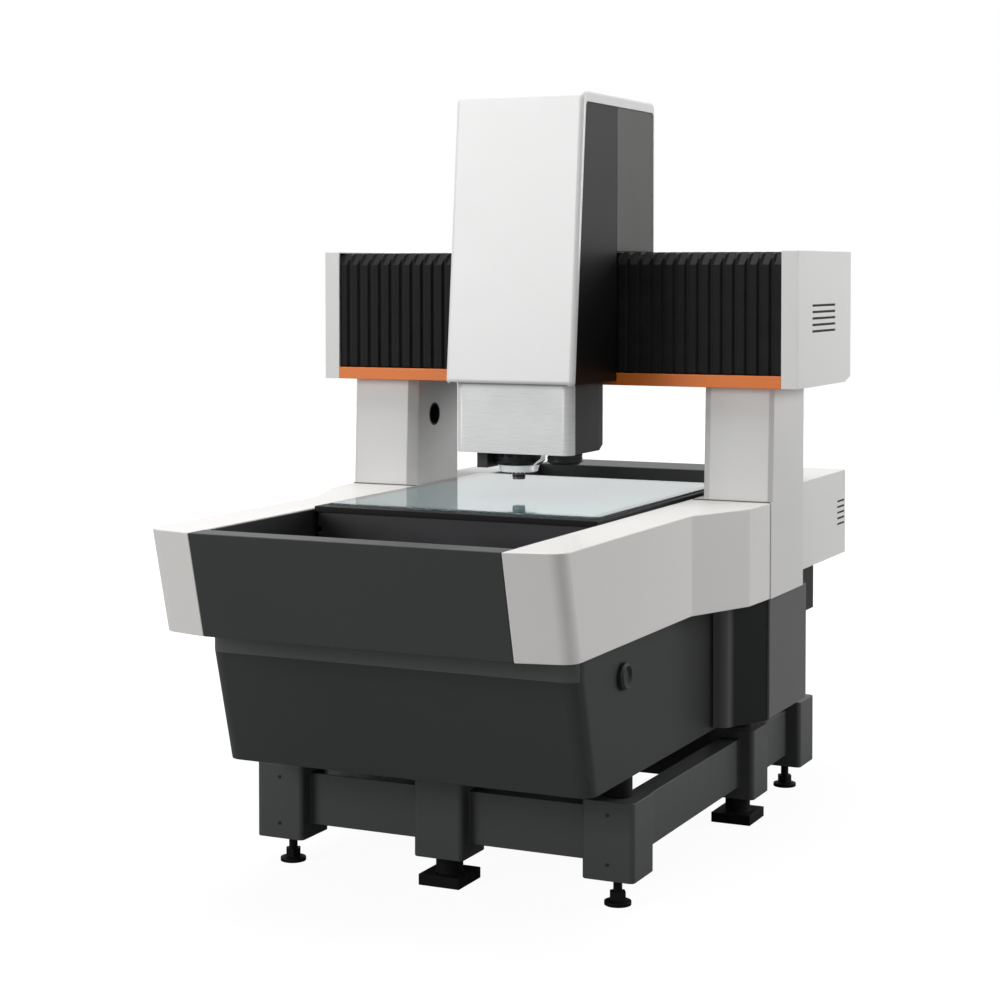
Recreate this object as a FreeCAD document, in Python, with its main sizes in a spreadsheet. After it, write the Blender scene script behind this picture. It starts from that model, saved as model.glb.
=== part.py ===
import FreeCAD, Part
import math
import os
import re
import Sketcher
from FreeCAD import Vector

# Vision measuring machine: welded stand, dark lower body, white deck covers, moving glass stage,
# fixed bridge with pleated covers, and a head that travels along the bridge and up and down.
# Millimetres. X runs to the right, Y to the back, Z up. The origin is on the floor, under the
# middle of the machine's width and depth.

# Driving dimensions: name, size, what it is
SIZES = [
    ("deck_length", 2005, "front panel to the ends of the rear arms"),
    ("deck_height", 830, "floor to the top of the deck covers"),
    ("arm_depth", 230, "height of the deck covers' sides"),
    ("arm_outer", 488.5, "half the width over the front arms"),
    ("rear_outer", 488, "half the width over the rear arms"),
    ("well_half", 367, "half the width of the well between the arms"),
    ("cap_slope", 29, "how far an arm's front corner lies behind the front panel"),
    ("nose_long", 250, "length of an arm's leaning front end"),
    ("cap_radius", 42, "rounding of an arm's front corner"),
    ("panel_rake", 60, "how far the front panel leans back at its foot"),
    ("panel_wall", 30, "thickness of the front panel"),
    ("flange_depth", 64, "ledge along the top of the front panel"),
    ("flange_thick", 26, "thickness of that ledge"),
    ("lip_thick", 8, "floor lips of the front and rear panels"),
    ("flare_run", 325, "arm's flare starts this far from the column"),
    ("flare_end", 133, "arm's flare ends this far from the column"),
    ("flare_outer", 562, "half the width where the flare ends"),
    ("flare_radius", 25, "easing of the arm's flare"),
    ("seam", 2, "joint line between white covers"),
    ("free_gap", 0.3, "clearance between covers"),
    ("rear_wall_face", 805.5, "front face of the rear panel"),
    ("rear_channel", 177, "depth of the rear panel"),
    ("rear_radius", 14, "rounding of the rear arms' ends"),
    ("wall_thick", 8, "lining of the well"),
    ("wall_drop", 2, "lining stops this far under the deck"),
    ("column_front", 77.5, "front of the columns, from the middle"),
    ("column_depth", 255, "column front to back"),
    ("column_inner", 392, "half the free width between the columns"),
    ("column_outer", 570.5, "half the width over the columns"),
    ("column_rake", 12, "how far a column's face leans back at the top"),
    ("column_chamfer", 22, "chamfer of a column's inner front edge"),
    ("column_edge", 10, "chamfer of a column's outer front edge"),
    ("socket_radius", 30, "round recess in a column's inner side"),
    ("socket_deep", 60, "depth of that recess"),
    ("socket_y", 197.5, "recess, front to back"),
    ("socket_z_rise", 179, "recess, height over the deck"),
    ("bridge_under_rise", 274, "deck to the underside of the bridge"),
    ("bridge_front", 56.5, "front of the bridge's end caps"),
    ("bridge_depth", 446, "end caps, front to back"),
    ("cap_outer", 640.5, "half the width over the end caps"),
    ("cap_width", 41, "width of an end cap"),
    ("cap_tall", 328, "height of an end cap"),
    ("cap_wall", 6, "wall of an end cap"),
    ("cap_lid", 2.5, "top wall of an end cap"),
    ("cap_cut", 12, "bevel under an end cap's rear edge"),
    ("strip_tall", 30, "height of the coloured strip"),
    ("strip_thick", 8, "thickness of the coloured strip"),
    ("strip_lip", 4, "thickness of the strip's lower lip"),
    ("beam_front_y", 160, "front face of the bridge beam"),
    ("beam_back_y", 490, "rear face of the bridge beam"),
    ("beam_tall", 280, "height of the bridge beam"),
    ("bellows_front", 63.5, "front ridges of the pleated covers"),
    ("bellows_back", 345, "rear edge of the pleated covers"),
    ("bellows_low_rise", 307, "deck to the pleated covers"),
    ("bellows_bevel", 30, "bevel along the pleated covers' top front edge"),
    ("pleat_deep", 14, "depth of a pleat"),
    ("pleat_skin", 12, "cover behind the pleats' valleys"),
    ("pleats_left", 18, "number of pleats on the left"),
    ("pleats_right", 17, "number of pleats on the right"),
    ("post_size", 123, "width of the stand's posts"),
    ("post_top", 240, "floor to the top of the posts"),
    ("post_bottom", 66, "floor to the foot of the posts"),
    ("post_corner", 12, "rounding of the posts' corners"),
    ("feet_x", 411, "half the spacing of the corner posts"),
    ("feet_front", -497.5, "front row of posts"),
    ("feet_rear", 691.5, "rear row of posts"),
    ("feet_mid", 304.5, "middle row of posts"),
    ("rail_wide", 50, "width of the stand's beams"),
    ("rail_tall", 120, "height of the stand's beams"),
    ("rail_top", 218, "floor to the top of the stand's beams"),
    ("pad_radius", 30, "levelling foot's pad"),
    ("pad_tall", 12, "height of that pad"),
    ("hub_radius", 16.5, "half the width across the flats of the levelling foot's nut"),
    ("hub_top", 30, "top of that nut"),
    ("stem_radius", 10, "levelling foot's stem"),
    ("stem_fit", 0.05, "running clearance round the stem"),
    ("stem_grip", 70, "depth of the stem's hole in a post"),
    ("block_wide", 102, "support block, side to side"),
    ("block_long", 112, "support block, front to back"),
    ("block_thick", 25, "support block's plate"),
    ("neck_radius", 31, "support block's neck"),
    ("mount_radius", 32, "mounts between stand and body"),
    ("body_half", 446, "half the width of the lower body"),
    ("body_bottom", 286, "floor to the lower body"),
    ("body_front_low", -731.5, "lower body's front at its foot"),
    ("body_front_high", -801.5, "lower body's front at its top"),
    ("body_band", 60, "height of the lower body's upright band"),
    ("body_rear", 682.5, "rear of the lower body"),
    ("body_box_rear", 829.5, "rear of the raised rear part"),
    ("body_box_tall", 135, "height of the raised rear part"),
    ("body_corner", 36, "rounding of the lower body's front corners"),
    ("body_wall", 6, "wall of the lower body"),
    ("base_tall", 200, "height of the granite base"),
    ("base_leg_x", 280, "half the spacing of the base's short legs"),
    ("base_leg_half", 32, "half the width of those legs"),
    ("base_leg_front", -500, "front legs of the base"),
    ("base_leg_rear", 450, "rear legs of the base"),
    ("base_half", 355, "half the width of the granite base"),
    ("base_front", -660, "front of the granite base"),
    ("base_rear", 640, "rear of the granite base"),
    ("bed_half", 300, "half the width of the bed on the base"),
    ("bed_drop", 140, "the bed's top lies this far under the deck's"),
    ("ped_outer", 539, "half the width over the pedestals"),
    ("ped_front", 15, "front of a pedestal"),
    ("ped_long", 560, "pedestal, front to back"),
    ("ped_step", 32, "pedestal's front strip, side to side"),
    ("ped_run", 126, "pedestal's slanting face, front to back"),
    ("ped_low", 292, "floor to a pedestal"),
    ("ped_drop", 7, "a pedestal ends this far under the arms"),
    ("ped_round", 24, "rounding of a pedestal's front strip"),
    ("door_thick", 6, "side door on a pedestal"),
    ("door_inset", 5, "margin round that door"),
    ("plug_radius", 30, "round plug in the body's side"),
    ("plug_y", -560, "plug, front to back"),
    ("plug_drop", 85, "plug's centre lies this far under the arms"),
    ("plug_out", 14, "plug stands out this far"),
    ("guide_half", 230, "half the spacing of the stage's guide rails"),
    ("guide_wide", 28, "width of a guide rail"),
    ("guide_tall", 24, "height of a guide rail"),
    ("guide_front", -590, "front end of the stage's rails"),
    ("guide_back", 520, "rear end of the stage's rails"),
    ("runner_wide", 64, "width of a guide runner"),
    ("runner_long", 90, "length of a guide runner"),
    ("runner_gap", 0.3, "clearance between runner and rail"),
    ("runner_lift", 10, "a runner's skirt ends this far above the rail's foot"),
    ("runner_spread", 150, "runners' distance from the stage's middle"),
    ("stage_y", -45, "stage's middle in the rest position"),
    ("stage_rise", 52, "underside of the stage body over the bed"),
    ("stage_side", 5, "the frame reaches this far past the stage body's sides"),
    ("stage_end", 6, "the frame reaches this far past the stage body's ends"),
    ("frame_rise", 6, "the stage frame stands this far above the deck"),
    ("frame_thick", 14, "thickness of the stage frame"),
    ("frame_half", 357, "half the width of the stage frame"),
    ("frame_long", 885, "stage frame, front to back"),
    ("rim_side", 14, "stage frame beside the glass"),
    ("rim_front", 42, "stage frame in front of the glass"),
    ("rim_rear", 20, "stage frame behind the glass"),
    ("glass_sunk", 6, "the glass lies this deep in its frame"),
    ("glass_thick", 10, "thickness of the stage glass"),
    ("glass_corner", 12, "rounding of the glass's corners"),
    ("glass_fit", 0.5, "clearance round the glass"),
    ("ledge", 28, "ledge under the glass's edge"),
    ("light_thick", 7, "light panel under the glass"),
    ("stage_bevel", 14, "bevel under the stage body's sides"),
    ("groove_half", 7, "half the height of the stage body's side grooves"),
    ("groove_deep", 10, "depth of those grooves"),
    ("screw_radius", 12.5, "stage screw"),
    ("screw_fit", 0.06, "running clearance of the screws"),
    ("screw_rise", 26, "stage screw over the bed"),
    ("screw_front", -610, "front end of the stage screw"),
    ("screw_back", 590, "rear end of the stage screw"),
    ("motor_size", 48, "stage motor, across"),
    ("motor_long", 110, "stage motor, length"),
    ("bearing_long", 26, "screw bearings, length"),
    ("bearing_half", 34, "half the width of the screw bearings"),
    ("bearing_rise", 20, "screw bearings reach this far above the screw"),
    ("nut_half", 26, "half the width of the nut block"),
    ("nut_long", 60, "nut block, length"),
    ("head_left", -152, "left side of the head"),
    ("head_right", 183, "right side of the head"),
    ("head_low_rise", 282, "deck to the head cover"),
    ("head_high_rise", 984, "deck to the top of the head"),
    ("head_front", -220, "head cover's front at its foot"),
    ("head_rake", 64.5, "how far that front leans back at the top"),
    ("head_back", 309.5, "rear of the head"),
    ("head_over_rise", 601.5, "deck to the underside of the head's part over the bridge"),
    ("head_wall", 14, "rim of the head cover, front and rear"),
    ("head_crown", 30, "rim of the head cover, top"),
    ("head_round", 26, "rounding of the head cover's top edge"),
    ("head_edge", 12, "rounding along the head cover's front edges"),
    ("head_foot", 11, "rounding of the cover's lower front corners"),
    ("head_inner", 12, "rounding of the corners inside the rim"),
    ("front_sheet", 3, "head cover's front where the optics pass behind it"),
    ("recess_tall", 300, "height of that thin part"),
    ("recess_room", 4, "room beside the optics housing there"),
    ("side_inset", 2, "side panels lie this far inside the rim"),
    ("side_thick", 7, "thickness of the side panels"),
    ("side_room", 1, "clearance from the front side panels to the bridge's strip"),
    ("side_seam", 1.2, "joint line between the front and rear side panels"),
    ("plate_left", -82, "left side of the carriage plate"),
    ("plate_right", 115, "right side of the carriage plate"),
    ("plate_front", 60, "front face of the carriage plate"),
    ("plate_back", 108, "rear face of the carriage plate"),
    ("plate_low_rise", 312, "deck to the foot of the carriage plate"),
    ("plate_high_rise", 870, "deck to the top of the carriage plate"),
    ("cross_low_rise", 360, "deck to the lower bridge rail"),
    ("cross_high_rise", 500, "deck to the upper bridge rail"),
    ("cross_runner", 80, "length of a bridge runner"),
    ("saddle_thick", 16, "plate over the bridge"),
    ("lift_half", 66, "half the spacing of the head's upright rails"),
    ("lift_low_rise", 320, "deck to the foot of the upright rails"),
    ("lift_high_rise", 860, "deck to the top of the upright rails"),
    ("lift_runner", 70, "length of an upright runner"),
    ("lift_radius", 8, "head screw"),
    ("lift_screw_y", 34, "head screw, front to back"),
    ("lift_motor", 56, "head motor, across"),
    ("lift_motor_low_rise", 886, "deck to the foot of the head motor"),
    ("lift_motor_room", 4, "room over the head motor"),
    ("house_left", -139, "left side of the optics housing"),
    ("house_right", 163, "right side of the optics housing"),
    ("house_front", -191, "front of the optics housing"),
    ("house_low_rise", 118, "deck to the optics housing"),
    ("house_high_rise", 330, "deck to the top of the optics housing"),
    ("house_skin", 32, "depth of the housing's front cover"),
    ("house_lean", 16, "how far the cover's hidden top leans back"),
    ("house_round", 20, "rounding of that cover's upright edges"),
    ("house_back", -10, "rear of the optics housing"),
    ("slide_back", 18, "rear face of the lifting plate"),
    ("slide_high_rise", 570, "deck to the top of the lifting plate"),
    ("slide_cut_long", 21, "bevel under the lifting plate, front to back"),
    ("slide_cut_tall", 13, "bevel under the lifting plate, height"),
    ("axis_x", -38.5, "optical axis, side to side"),
    ("axis_y", -40.5, "optical axis, front to back"),
    ("turret_radius", 63, "turret under the housing"),
    ("turret_low_rise", 80, "deck to the underside of the turret"),
    ("side_block", 28, "small block beside the turret, side to side"),
    ("side_block_low_rise", 75, "deck to the underside of that block"),
    ("ring_outer", 51, "ring light, outside"),
    ("ring_low_rise", 63, "deck to the underside of the ring light"),
    ("ring_high_rise", 79, "deck to the top of the ring light"),
    ("lens_radius", 15.5, "objective's nose"),
    ("lens_body", 24, "objective's barrel"),
    ("lens_low_rise", 43, "deck to the objective's nose"),
    ("sensor_radius", 42, "distance sensor beside the lens"),
    ("sensor_x", 94, "distance sensor, side to side"),
    ("sensor_y", -62, "distance sensor, front to back"),
    ("sensor_low_rise", 86, "deck to the underside of the distance sensor"),
    ("vent_tall", 5.5, "height of a vent slot"),
    ("vent_step", 15.6, "spacing of the vent slots"),
    ("vent_count", 5, "number of vent slots in a set"),
    ("vent_deep", 4, "depth of a vent slot"),
    ("cap_vent_y", 174, "end caps' vents, front end"),
    ("cap_vent_long", 192, "end caps' vents, length"),
    ("cap_vent_z_rise", 405, "deck to the end caps' lowest vent"),
    ("arm_vent_y", 915, "rear arms' vents, front end"),
    ("arm_vent_long", 68, "rear arms' vents, length"),
    ("arm_vent_z_rise", -148, "deck to the rear arms' lowest vent"),
]

# Sizes worked out from the driving ones; they are formulas in the same sheet
DERIVED = {
    "socket_z": "deck_height + socket_z_rise",
    "bridge_under": "deck_height + bridge_under_rise",
    "bellows_low": "deck_height + bellows_low_rise",
    "head_low": "deck_height + head_low_rise",
    "head_high": "deck_height + head_high_rise",
    "head_over": "deck_height + head_over_rise",
    "plate_low": "deck_height + plate_low_rise",
    "plate_high": "deck_height + plate_high_rise",
    "cross_low": "deck_height + cross_low_rise",
    "cross_high": "deck_height + cross_high_rise",
    "lift_low": "deck_height + lift_low_rise",
    "lift_high": "deck_height + lift_high_rise",
    "lift_motor_low": "deck_height + lift_motor_low_rise",
    "house_low": "deck_height + house_low_rise",
    "house_high": "deck_height + house_high_rise",
    "slide_high": "deck_height + slide_high_rise",
    "turret_low": "deck_height + turret_low_rise",
    "side_block_low": "deck_height + side_block_low_rise",
    "ring_low": "deck_height + ring_low_rise",
    "ring_high": "deck_height + ring_high_rise",
    "lens_low": "deck_height + lens_low_rise",
    "sensor_low": "deck_height + sensor_low_rise",
    "cap_vent_z": "deck_height + cap_vent_z_rise",
    "arm_vent_z": "deck_height + arm_vent_z_rise",
    "front_y": "-deck_length / 2",
    "rear_y": "deck_length / 2",
    "arm_under": "deck_height - arm_depth",
    "body_break": "arm_under - body_band",
    "body_box_low": "arm_under - body_box_tall",
    "base_low": "arm_under - base_tall",
    "bed_top": "deck_height - bed_drop",
    "ped_high": "arm_under - ped_drop",
    "plug_z": "arm_under - plug_drop",
    "stage_low": "bed_top + stage_rise",
    "frame_high": "deck_height + frame_rise",
    "frame_low": "frame_high - frame_thick",
    "glass_low": "frame_high - glass_sunk",
    "glass_high": "glass_low + glass_thick",
    "light_low": "glass_low - light_thick",
    "screw_z": "bed_top + screw_rise",
    "column_rear": "column_front + column_depth",
    "arm_stop": "column_front - seam",
    "rear_start": "column_front + column_depth + seam",
    "panel_half": "well_half - free_gap",
    "post_half": "post_size / 2",
    "post_inner": "feet_x - post_size / 2",
    "beam_half": "rail_wide / 2",
    "beam_foot": "rail_top - rail_tall",
    "cap_inner": "cap_outer - cap_width",
    "cap_top": "bridge_under + cap_tall",
    "cap_back": "bridge_front + bridge_depth",
    "bellows_top": "cap_top - cap_lid - free_gap",
    "side_back": "bridge_front - side_room",
    "beam_top_z": "bridge_under + beam_tall",
    "ped_back": "ped_front + ped_long",
    "lining": "well_half - wall_thick",
    "frame_front": "stage_y - frame_long / 2",
    "frame_back": "stage_y + frame_long / 2",
    "stage_half": "frame_half - stage_side",
    "stage_front": "frame_front + stage_end",
    "stage_back": "frame_back - stage_end",
    "glass_half": "frame_half - rim_side",
    "glass_front": "frame_front + rim_front",
    "glass_back": "frame_back - rim_rear",
    "plate_mid": "(plate_left + plate_right) / 2",
    "head_under": "head_high - head_crown",
    "lift_motor_high": "head_under - lift_motor_room",
}

doc = FreeCAD.newDocument("measuring_machine")
sheet = doc.addObject("Spreadsheet::Sheet", "dims")
for line, (alias, number, meaning) in enumerate(SIZES, start=1):
    sheet.set(f"A{line}", alias)
    sheet.set(f"B{line}", str(number))
    sheet.set(f"C{line}", meaning)
    sheet.setAlias(f"B{line}", alias)
doc.recompute()
for line, (alias, formula) in enumerate(DERIVED.items(), start=len(SIZES) + 1):
    sheet.set(f"A{line}", alias)
    sheet.set(f"B{line}", "=" + formula)
    sheet.setAlias(f"B{line}", alias)
    doc.recompute()
NAMES = {alias for alias, number, meaning in SIZES} | set(DERIVED)
nodes = []


def size(alias):
    """A dimension as a plain number."""
    return float(sheet.get(alias))


def bound(formula):
    """Turn a formula in plain names into an expression on the sheet's cells."""
    def swap(match):
        word = match.group(0)
        return "dims." + word if word in NAMES else word
    return re.sub(r"[a-z][a-z_]*", swap, formula)


def node(item, name):
    """Name a finished sub-part and put it on the list of those that are written out."""
    item.Label = name
    nodes.append(item)
    return item


def new_body(name):
    body = doc.addObject("PartDesign::Body", name)
    body.Label = name
    return body


def new_sketch(body, plane, level):
    """A sketch parallel to one of the body's own planes. XZ planes look along -Y."""
    role = plane + "_Plane"
    support = [item for item in body.Origin.OriginFeatures if item.Role == role][0]
    sketch = body.newObject("Sketcher::SketchObject", body.Name + "_sketch")
    sketch.AttachmentSupport = [(support, "")]
    sketch.MapMode = "FlatFace"
    side = "-" if plane == "XZ" else ""
    sketch.setExpression("AttachmentOffset.Base.z", bound(f"{side}({level})"))
    return sketch


def pin_point(sketch, geometry, corner, across, along, guess):
    """Tie one point of a sketch to its two distances from the sketch's origin."""
    for kind, formula, start in (("DistanceX", across, guess.x), ("DistanceY", along, guess.y)):
        link = sketch.addConstraint(Sketcher.Constraint(kind, -1, 1, geometry, corner, start))
        sketch.setExpression(f"Constraints[{link}]", bound(formula))


def draw_outline(sketch, points):
    """A closed outline of straight lines through points given as pairs of formulas."""
    count = len(points)
    first = sketch.GeometryCount
    guesses = []
    for step in range(count):
        angle = 2 * math.pi * (step + 0.3) / count
        guesses.append(Vector(100 * math.cos(angle), 100 * math.sin(angle), 0))
    for step in range(count):
        sketch.addGeometry(Part.LineSegment(guesses[step], guesses[(step + 1) % count]), False)
    for step in range(count):
        follower = first + (step + 1) % count
        sketch.addConstraint(Sketcher.Constraint("Coincident", first + step, 2, follower, 1))
    for step, (across, along) in enumerate(points):
        pin_point(sketch, first + step, 1, across, along, guesses[step])


def draw_box(sketch, left, right, low, high):
    draw_outline(sketch, [(left, low), (right, low), (right, high), (left, high)])


def draw_circle(sketch, across, along, radius):
    centre = Vector(50, 60, 0)
    circle = sketch.addGeometry(Part.Circle(centre, Vector(0, 0, 1), 20), False)
    pin_point(sketch, circle, 3, across, along, centre)
    link = sketch.addConstraint(Sketcher.Constraint("Radius", circle, 20))
    sketch.setExpression(f"Constraints[{link}]", bound(radius))


def pad(body, sketch, length):
    feature = body.newObject("PartDesign::Pad", body.Name + "_pad")
    feature.Profile = (sketch, "")
    feature.setExpression("Length", bound(length))
    sketch.Visibility = False
    body.Tip = feature
    return feature


def pocket(body, sketch, depth, forward=False):
    """Cut into the body against the sketch's normal, or along it when forward is set."""
    feature = body.newObject("PartDesign::Pocket", body.Name + "_pocket")
    feature.Profile = (sketch, "")
    feature.setExpression("Length", bound(depth))
    feature.Reversed = forward
    sketch.Visibility = False
    body.Tip = feature
    return feature


def prism(name, plane, points, low, high):
    """A body padded from an outline on the given plane, from low to high across it."""
    body = new_body(name)
    add_prism(body, plane, points, low, high)
    return body


def add_prism(body, plane, points, low, high):
    start = high if plane == "XZ" else low
    sketch = new_sketch(body, plane, start)
    draw_outline(sketch, points)
    return pad(body, sketch, f"({high}) - ({low})")


def box(name, xs, ys, zs):
    """A plain block between three pairs of formulas."""
    corners = [(xs[0], ys[0]), (xs[1], ys[0]), (xs[1], ys[1]), (xs[0], ys[1])]
    return prism(name, "XY", corners, zs[0], zs[1])


def edges_where(body, direction, test):
    """Names of the body's straight edges that lie along a direction and pass a test."""
    doc.recompute()
    names = []
    for number, edge in enumerate(body.Shape.Edges, start=1):
        if len(edge.Vertexes) < 2:
            continue
        run = edge.Vertexes[1].Point - edge.Vertexes[0].Point
        straight = abs(edge.Length - run.Length) < 0.001
        if straight and abs(run.normalize() * direction) > 0.9 and test(edge.CenterOfMass):
            names.append(f"Edge{number}")
    return names


def ease(body, names, alias, kind="Fillet"):
    """Round or bevel the named edges by a size of the sheet."""
    before = body.Tip
    feature = body.newObject("PartDesign::" + kind, body.Name + "_" + kind.lower())
    feature.Base = (before, names)
    feature.setExpression("Radius" if kind == "Fillet" else "Size", bound(alias))
    body.Tip = feature
    return feature


def repeat_up(body, feature, sketch):
    """Copy a vent slot upwards, evenly spaced."""
    row = body.newObject("PartDesign::LinearPattern", body.Name + "_row")
    row.Originals = [feature]
    row.Direction = (sketch, ["V_Axis"])
    row.setExpression("Length", bound("vent_step * (vent_count - 1)"))
    row.setExpression("Occurrences", bound("vent_count"))
    body.Tip = row


def turned(name, outline):
    """A body revolved about the upright axis from half a profile of (radius, height)."""
    body = new_body(name)
    sketch = new_sketch(body, "XZ", "0")
    draw_outline(sketch, outline)
    feature = body.newObject("PartDesign::Revolution", name + "_turn")
    feature.Profile = (sketch, "")
    feature.ReferenceAxis = (sketch, ["V_Axis"])
    feature.Angle = 360
    sketch.Visibility = False
    body.Tip = feature
    return body


def move(body, across=None, along=None, up=None):
    for key, formula in (("x", across), ("y", along), ("z", up)):
        if formula:
            body.setExpression("Placement.Base." + key, bound(formula))
    return body


def joined(name, pieces):
    """One welded or bolted piece from several that meet."""
    fuse = doc.addObject("Part::MultiFuse", name)
    fuse.Shapes = pieces
    fuse.Refine = True
    return node(fuse, name)


def grouped(name, pieces):
    """A set of equal pieces kept as one sub-part."""
    group = doc.addObject("Part::Compound", name)
    group.Links = pieces
    return node(group, name)


ALONG_X = Vector(1, 0, 0)
ALONG_Y = Vector(0, 1, 0)
ALONG_Z = Vector(0, 0, 1)
SIDES = (("left", -1), ("right", 1))


def across(sign, formula):
    """A distance to one side of the machine's middle plane."""
    return f"{sign} * ({formula})"


def post(name, x, y):
    """A square post with rounded corners."""
    half = "post_half"
    body = box(name, (f"{x} - {half}", f"{x} + {half}"), (f"{y} - {half}", f"{y} + {half}"),
               ("post_bottom", "post_top"))
    ease(body, edges_where(body, ALONG_Z, lambda at: True), "post_corner")
    return body


def corner_post(name, x, y):
    """A post with a hole in its foot for the levelling foot's stem."""
    body = post(name, x, y)
    sketch = new_sketch(body, "XY", "post_bottom")
    draw_circle(sketch, x, y, "stem_radius + stem_fit")
    pocket(body, sketch, "stem_grip", forward=True)
    return body


def stand_beam(name, xs, ys):
    return box(name, xs, ys, ("beam_foot", "rail_top"))


def make_stand():
    """Welded frames of the stand: front, rear, two sides and the cross members."""
    half = ("-beam_half", "beam_half")

    def about(centre):
        return (f"{centre} + {half[0]}", f"{centre} + {half[1]}")

    joined("stand_front", [
        corner_post("post_front_left", "-feet_x", "feet_front"),
        post("post_front_middle", "0", "feet_front"),
        corner_post("post_front_right", "feet_x", "feet_front"),
        stand_beam("beam_front_left", ("-post_inner", "-post_half"), about("feet_front")),
        stand_beam("beam_front_right", ("post_half", "post_inner"), about("feet_front")),
    ])
    joined("stand_rear", [
        corner_post("post_rear_left", "-feet_x", "feet_rear"),
        corner_post("post_rear_right", "feet_x", "feet_rear"),
        stand_beam("beam_rear", ("-post_inner", "post_inner"), about("feet_rear")),
    ])
    for side, sign in SIDES:
        x = across(sign, "feet_x")
        joined("stand_side_" + side, [
            post("post_middle_" + side, x, "feet_mid"),
            stand_beam("beam_fore_" + side, about(x), ("feet_front + post_half", "feet_mid - post_half")),
            stand_beam("beam_aft_" + side, about(x), ("feet_mid + post_half", "feet_rear - post_half")),
        ])
    joined("stand_cross", [
        stand_beam("beam_cross", ("-post_inner", "post_inner"), about("feet_mid")),
        stand_beam("beam_centre", half, ("feet_front + post_half", "feet_mid - beam_half")),
    ])


def support_block(name, x, y):
    """A square floor plate with a round neck up to its post."""
    body = box(name, ("-block_wide / 2", "block_wide / 2"), ("-block_long / 2", "block_long / 2"),
               ("0", "block_thick"))
    sketch = new_sketch(body, "XY", "block_thick")
    draw_circle(sketch, "0", "0", "neck_radius")
    pad(body, sketch, "post_bottom - block_thick")
    return move(body, x, y)


def make_levelling_foot(name, x, y):
    """A levelling foot: a turned pad and stem, with a hexagonal nut fixed on it."""
    body = turned(name, [
        ("0", "0"), ("pad_radius", "0"), ("pad_radius", "pad_tall * 0.7"),
        ("stem_radius", "pad_tall + 3"), ("stem_radius", "post_bottom + stem_grip - 4"),
        ("0", "post_bottom + stem_grip - 4"),
    ])
    flat = "hub_radius"
    corner = "hub_radius * 2 / sqrt(3)"
    add_prism(body, "XY", [
        (f"-{corner}", "0"), (f"-{corner} / 2", f"-{flat}"), (f"{corner} / 2", f"-{flat}"),
        (corner, "0"), (f"{corner} / 2", flat), (f"-{corner} / 2", flat),
    ], "pad_tall", "hub_top")
    node(move(body, x, y), name)


def make_feet():
    """Four levelling feet, and the three blocks that carry the front and the middle posts."""
    blocks = [support_block("block_front", "0", "feet_front")]
    for side, sign in SIDES:
        x = across(sign, "feet_x")
        make_levelling_foot("foot_front_" + side, x, "feet_front")
        make_levelling_foot("foot_rear_" + side, x, "feet_rear")
        blocks.append(support_block("block_" + side, x, "feet_mid"))
    grouped("support_blocks", blocks)


def make_body_mounts():
    """Round mounts that carry the lower body on its five posts."""
    mounts = []
    for name, x, y in (("front", "0", "feet_front"), ("left", "-feet_x", "feet_mid"),
                       ("right", "feet_x", "feet_mid"), ("front_left", "-feet_x", "feet_front"),
                       ("front_right", "feet_x", "feet_front")):
        mount = doc.addObject("Part::Cylinder", "mount_" + name)
        reach = "mount_radius" if name == "front" else "body_half - feet_x"
        mount.setExpression("Radius", bound(f"min(mount_radius; {reach})"))
        mount.setExpression("Height", bound("body_bottom - post_top"))
        mounts.append(move(mount, x, y, "post_top"))
    grouped("body_mounts", mounts)


def make_lower_body():
    """The dark tub: raked front with an upright band on top, raised box behind, hollow inside."""
    body = prism("lower_body", "YZ", [
        ("body_front_low", "body_bottom"), ("body_rear", "body_bottom"),
        ("body_rear", "body_box_low"), ("body_box_rear", "body_box_low"),
        ("body_box_rear", "arm_under"), ("body_front_high", "arm_under"),
        ("body_front_high", "body_break"),
    ], "-body_half", "body_half")
    front = 0.5 * (size("body_front_low") + size("base_front"))
    side = 0.9 * size("body_half")
    corners = edges_where(body, ALONG_Z, lambda at: at.y < front and abs(at.x) > side)
    ease(body, corners, "body_corner")
    tub = new_sketch(body, "XY", "arm_under")
    draw_box(tub, "-body_half + body_wall", "body_half - body_wall",
             "body_front_low + body_wall", "body_rear - body_wall")
    pocket(body, tub, "arm_under - body_bottom - body_wall")
    rear = new_sketch(body, "XY", "arm_under")
    draw_box(rear, "-body_half + body_wall", "body_half - body_wall",
             "body_rear", "body_box_rear - body_wall")
    pocket(body, rear, "arm_under - body_box_low - body_wall")
    node(body, "lower_body")


def make_granite_base():
    """A granite block in the tub with the stage's bed standing up between the arms."""
    body = box("granite_base", ("-base_half", "base_half"), ("base_front", "base_rear"),
               ("base_low", "arm_under"))
    for x in ("-base_leg_x", "base_leg_x"):
        for y in ("base_leg_front", "base_leg_rear"):
            leg = new_sketch(body, "XY", "body_bottom + body_wall")
            draw_box(leg, f"{x} - base_leg_half", f"{x} + base_leg_half",
                     f"{y} - base_leg_half", f"{y} + base_leg_half")
            pad(body, leg, "base_low - body_bottom - body_wall")
    add_prism(body, "XY", [
        ("-bed_half", "base_front + 20"), ("bed_half", "base_front + 20"),
        ("bed_half", "base_rear - 20"), ("-bed_half", "base_rear - 20"),
    ], "arm_under", "bed_top")
    node(body, "granite_base")


def make_front_panel():
    """The leaning front panel with a ledge on top and a floor lip that lies on the body."""
    inner = "front_y + panel_wall"
    body = prism("front_panel", "YZ", [
        ("front_y", "deck_height"), ("front_y + flange_depth", "deck_height"),
        ("front_y + flange_depth", "deck_height - flange_thick"), (inner, "deck_height - flange_thick"),
        (f"{inner} + panel_rake", "arm_under + lip_thick"),
        ("base_front - free_gap", "arm_under + lip_thick"), ("base_front - free_gap", "arm_under"),
        ("front_y + panel_rake", "arm_under"),
    ], "-panel_half", "panel_half")
    node(body, "front_panel")


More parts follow.
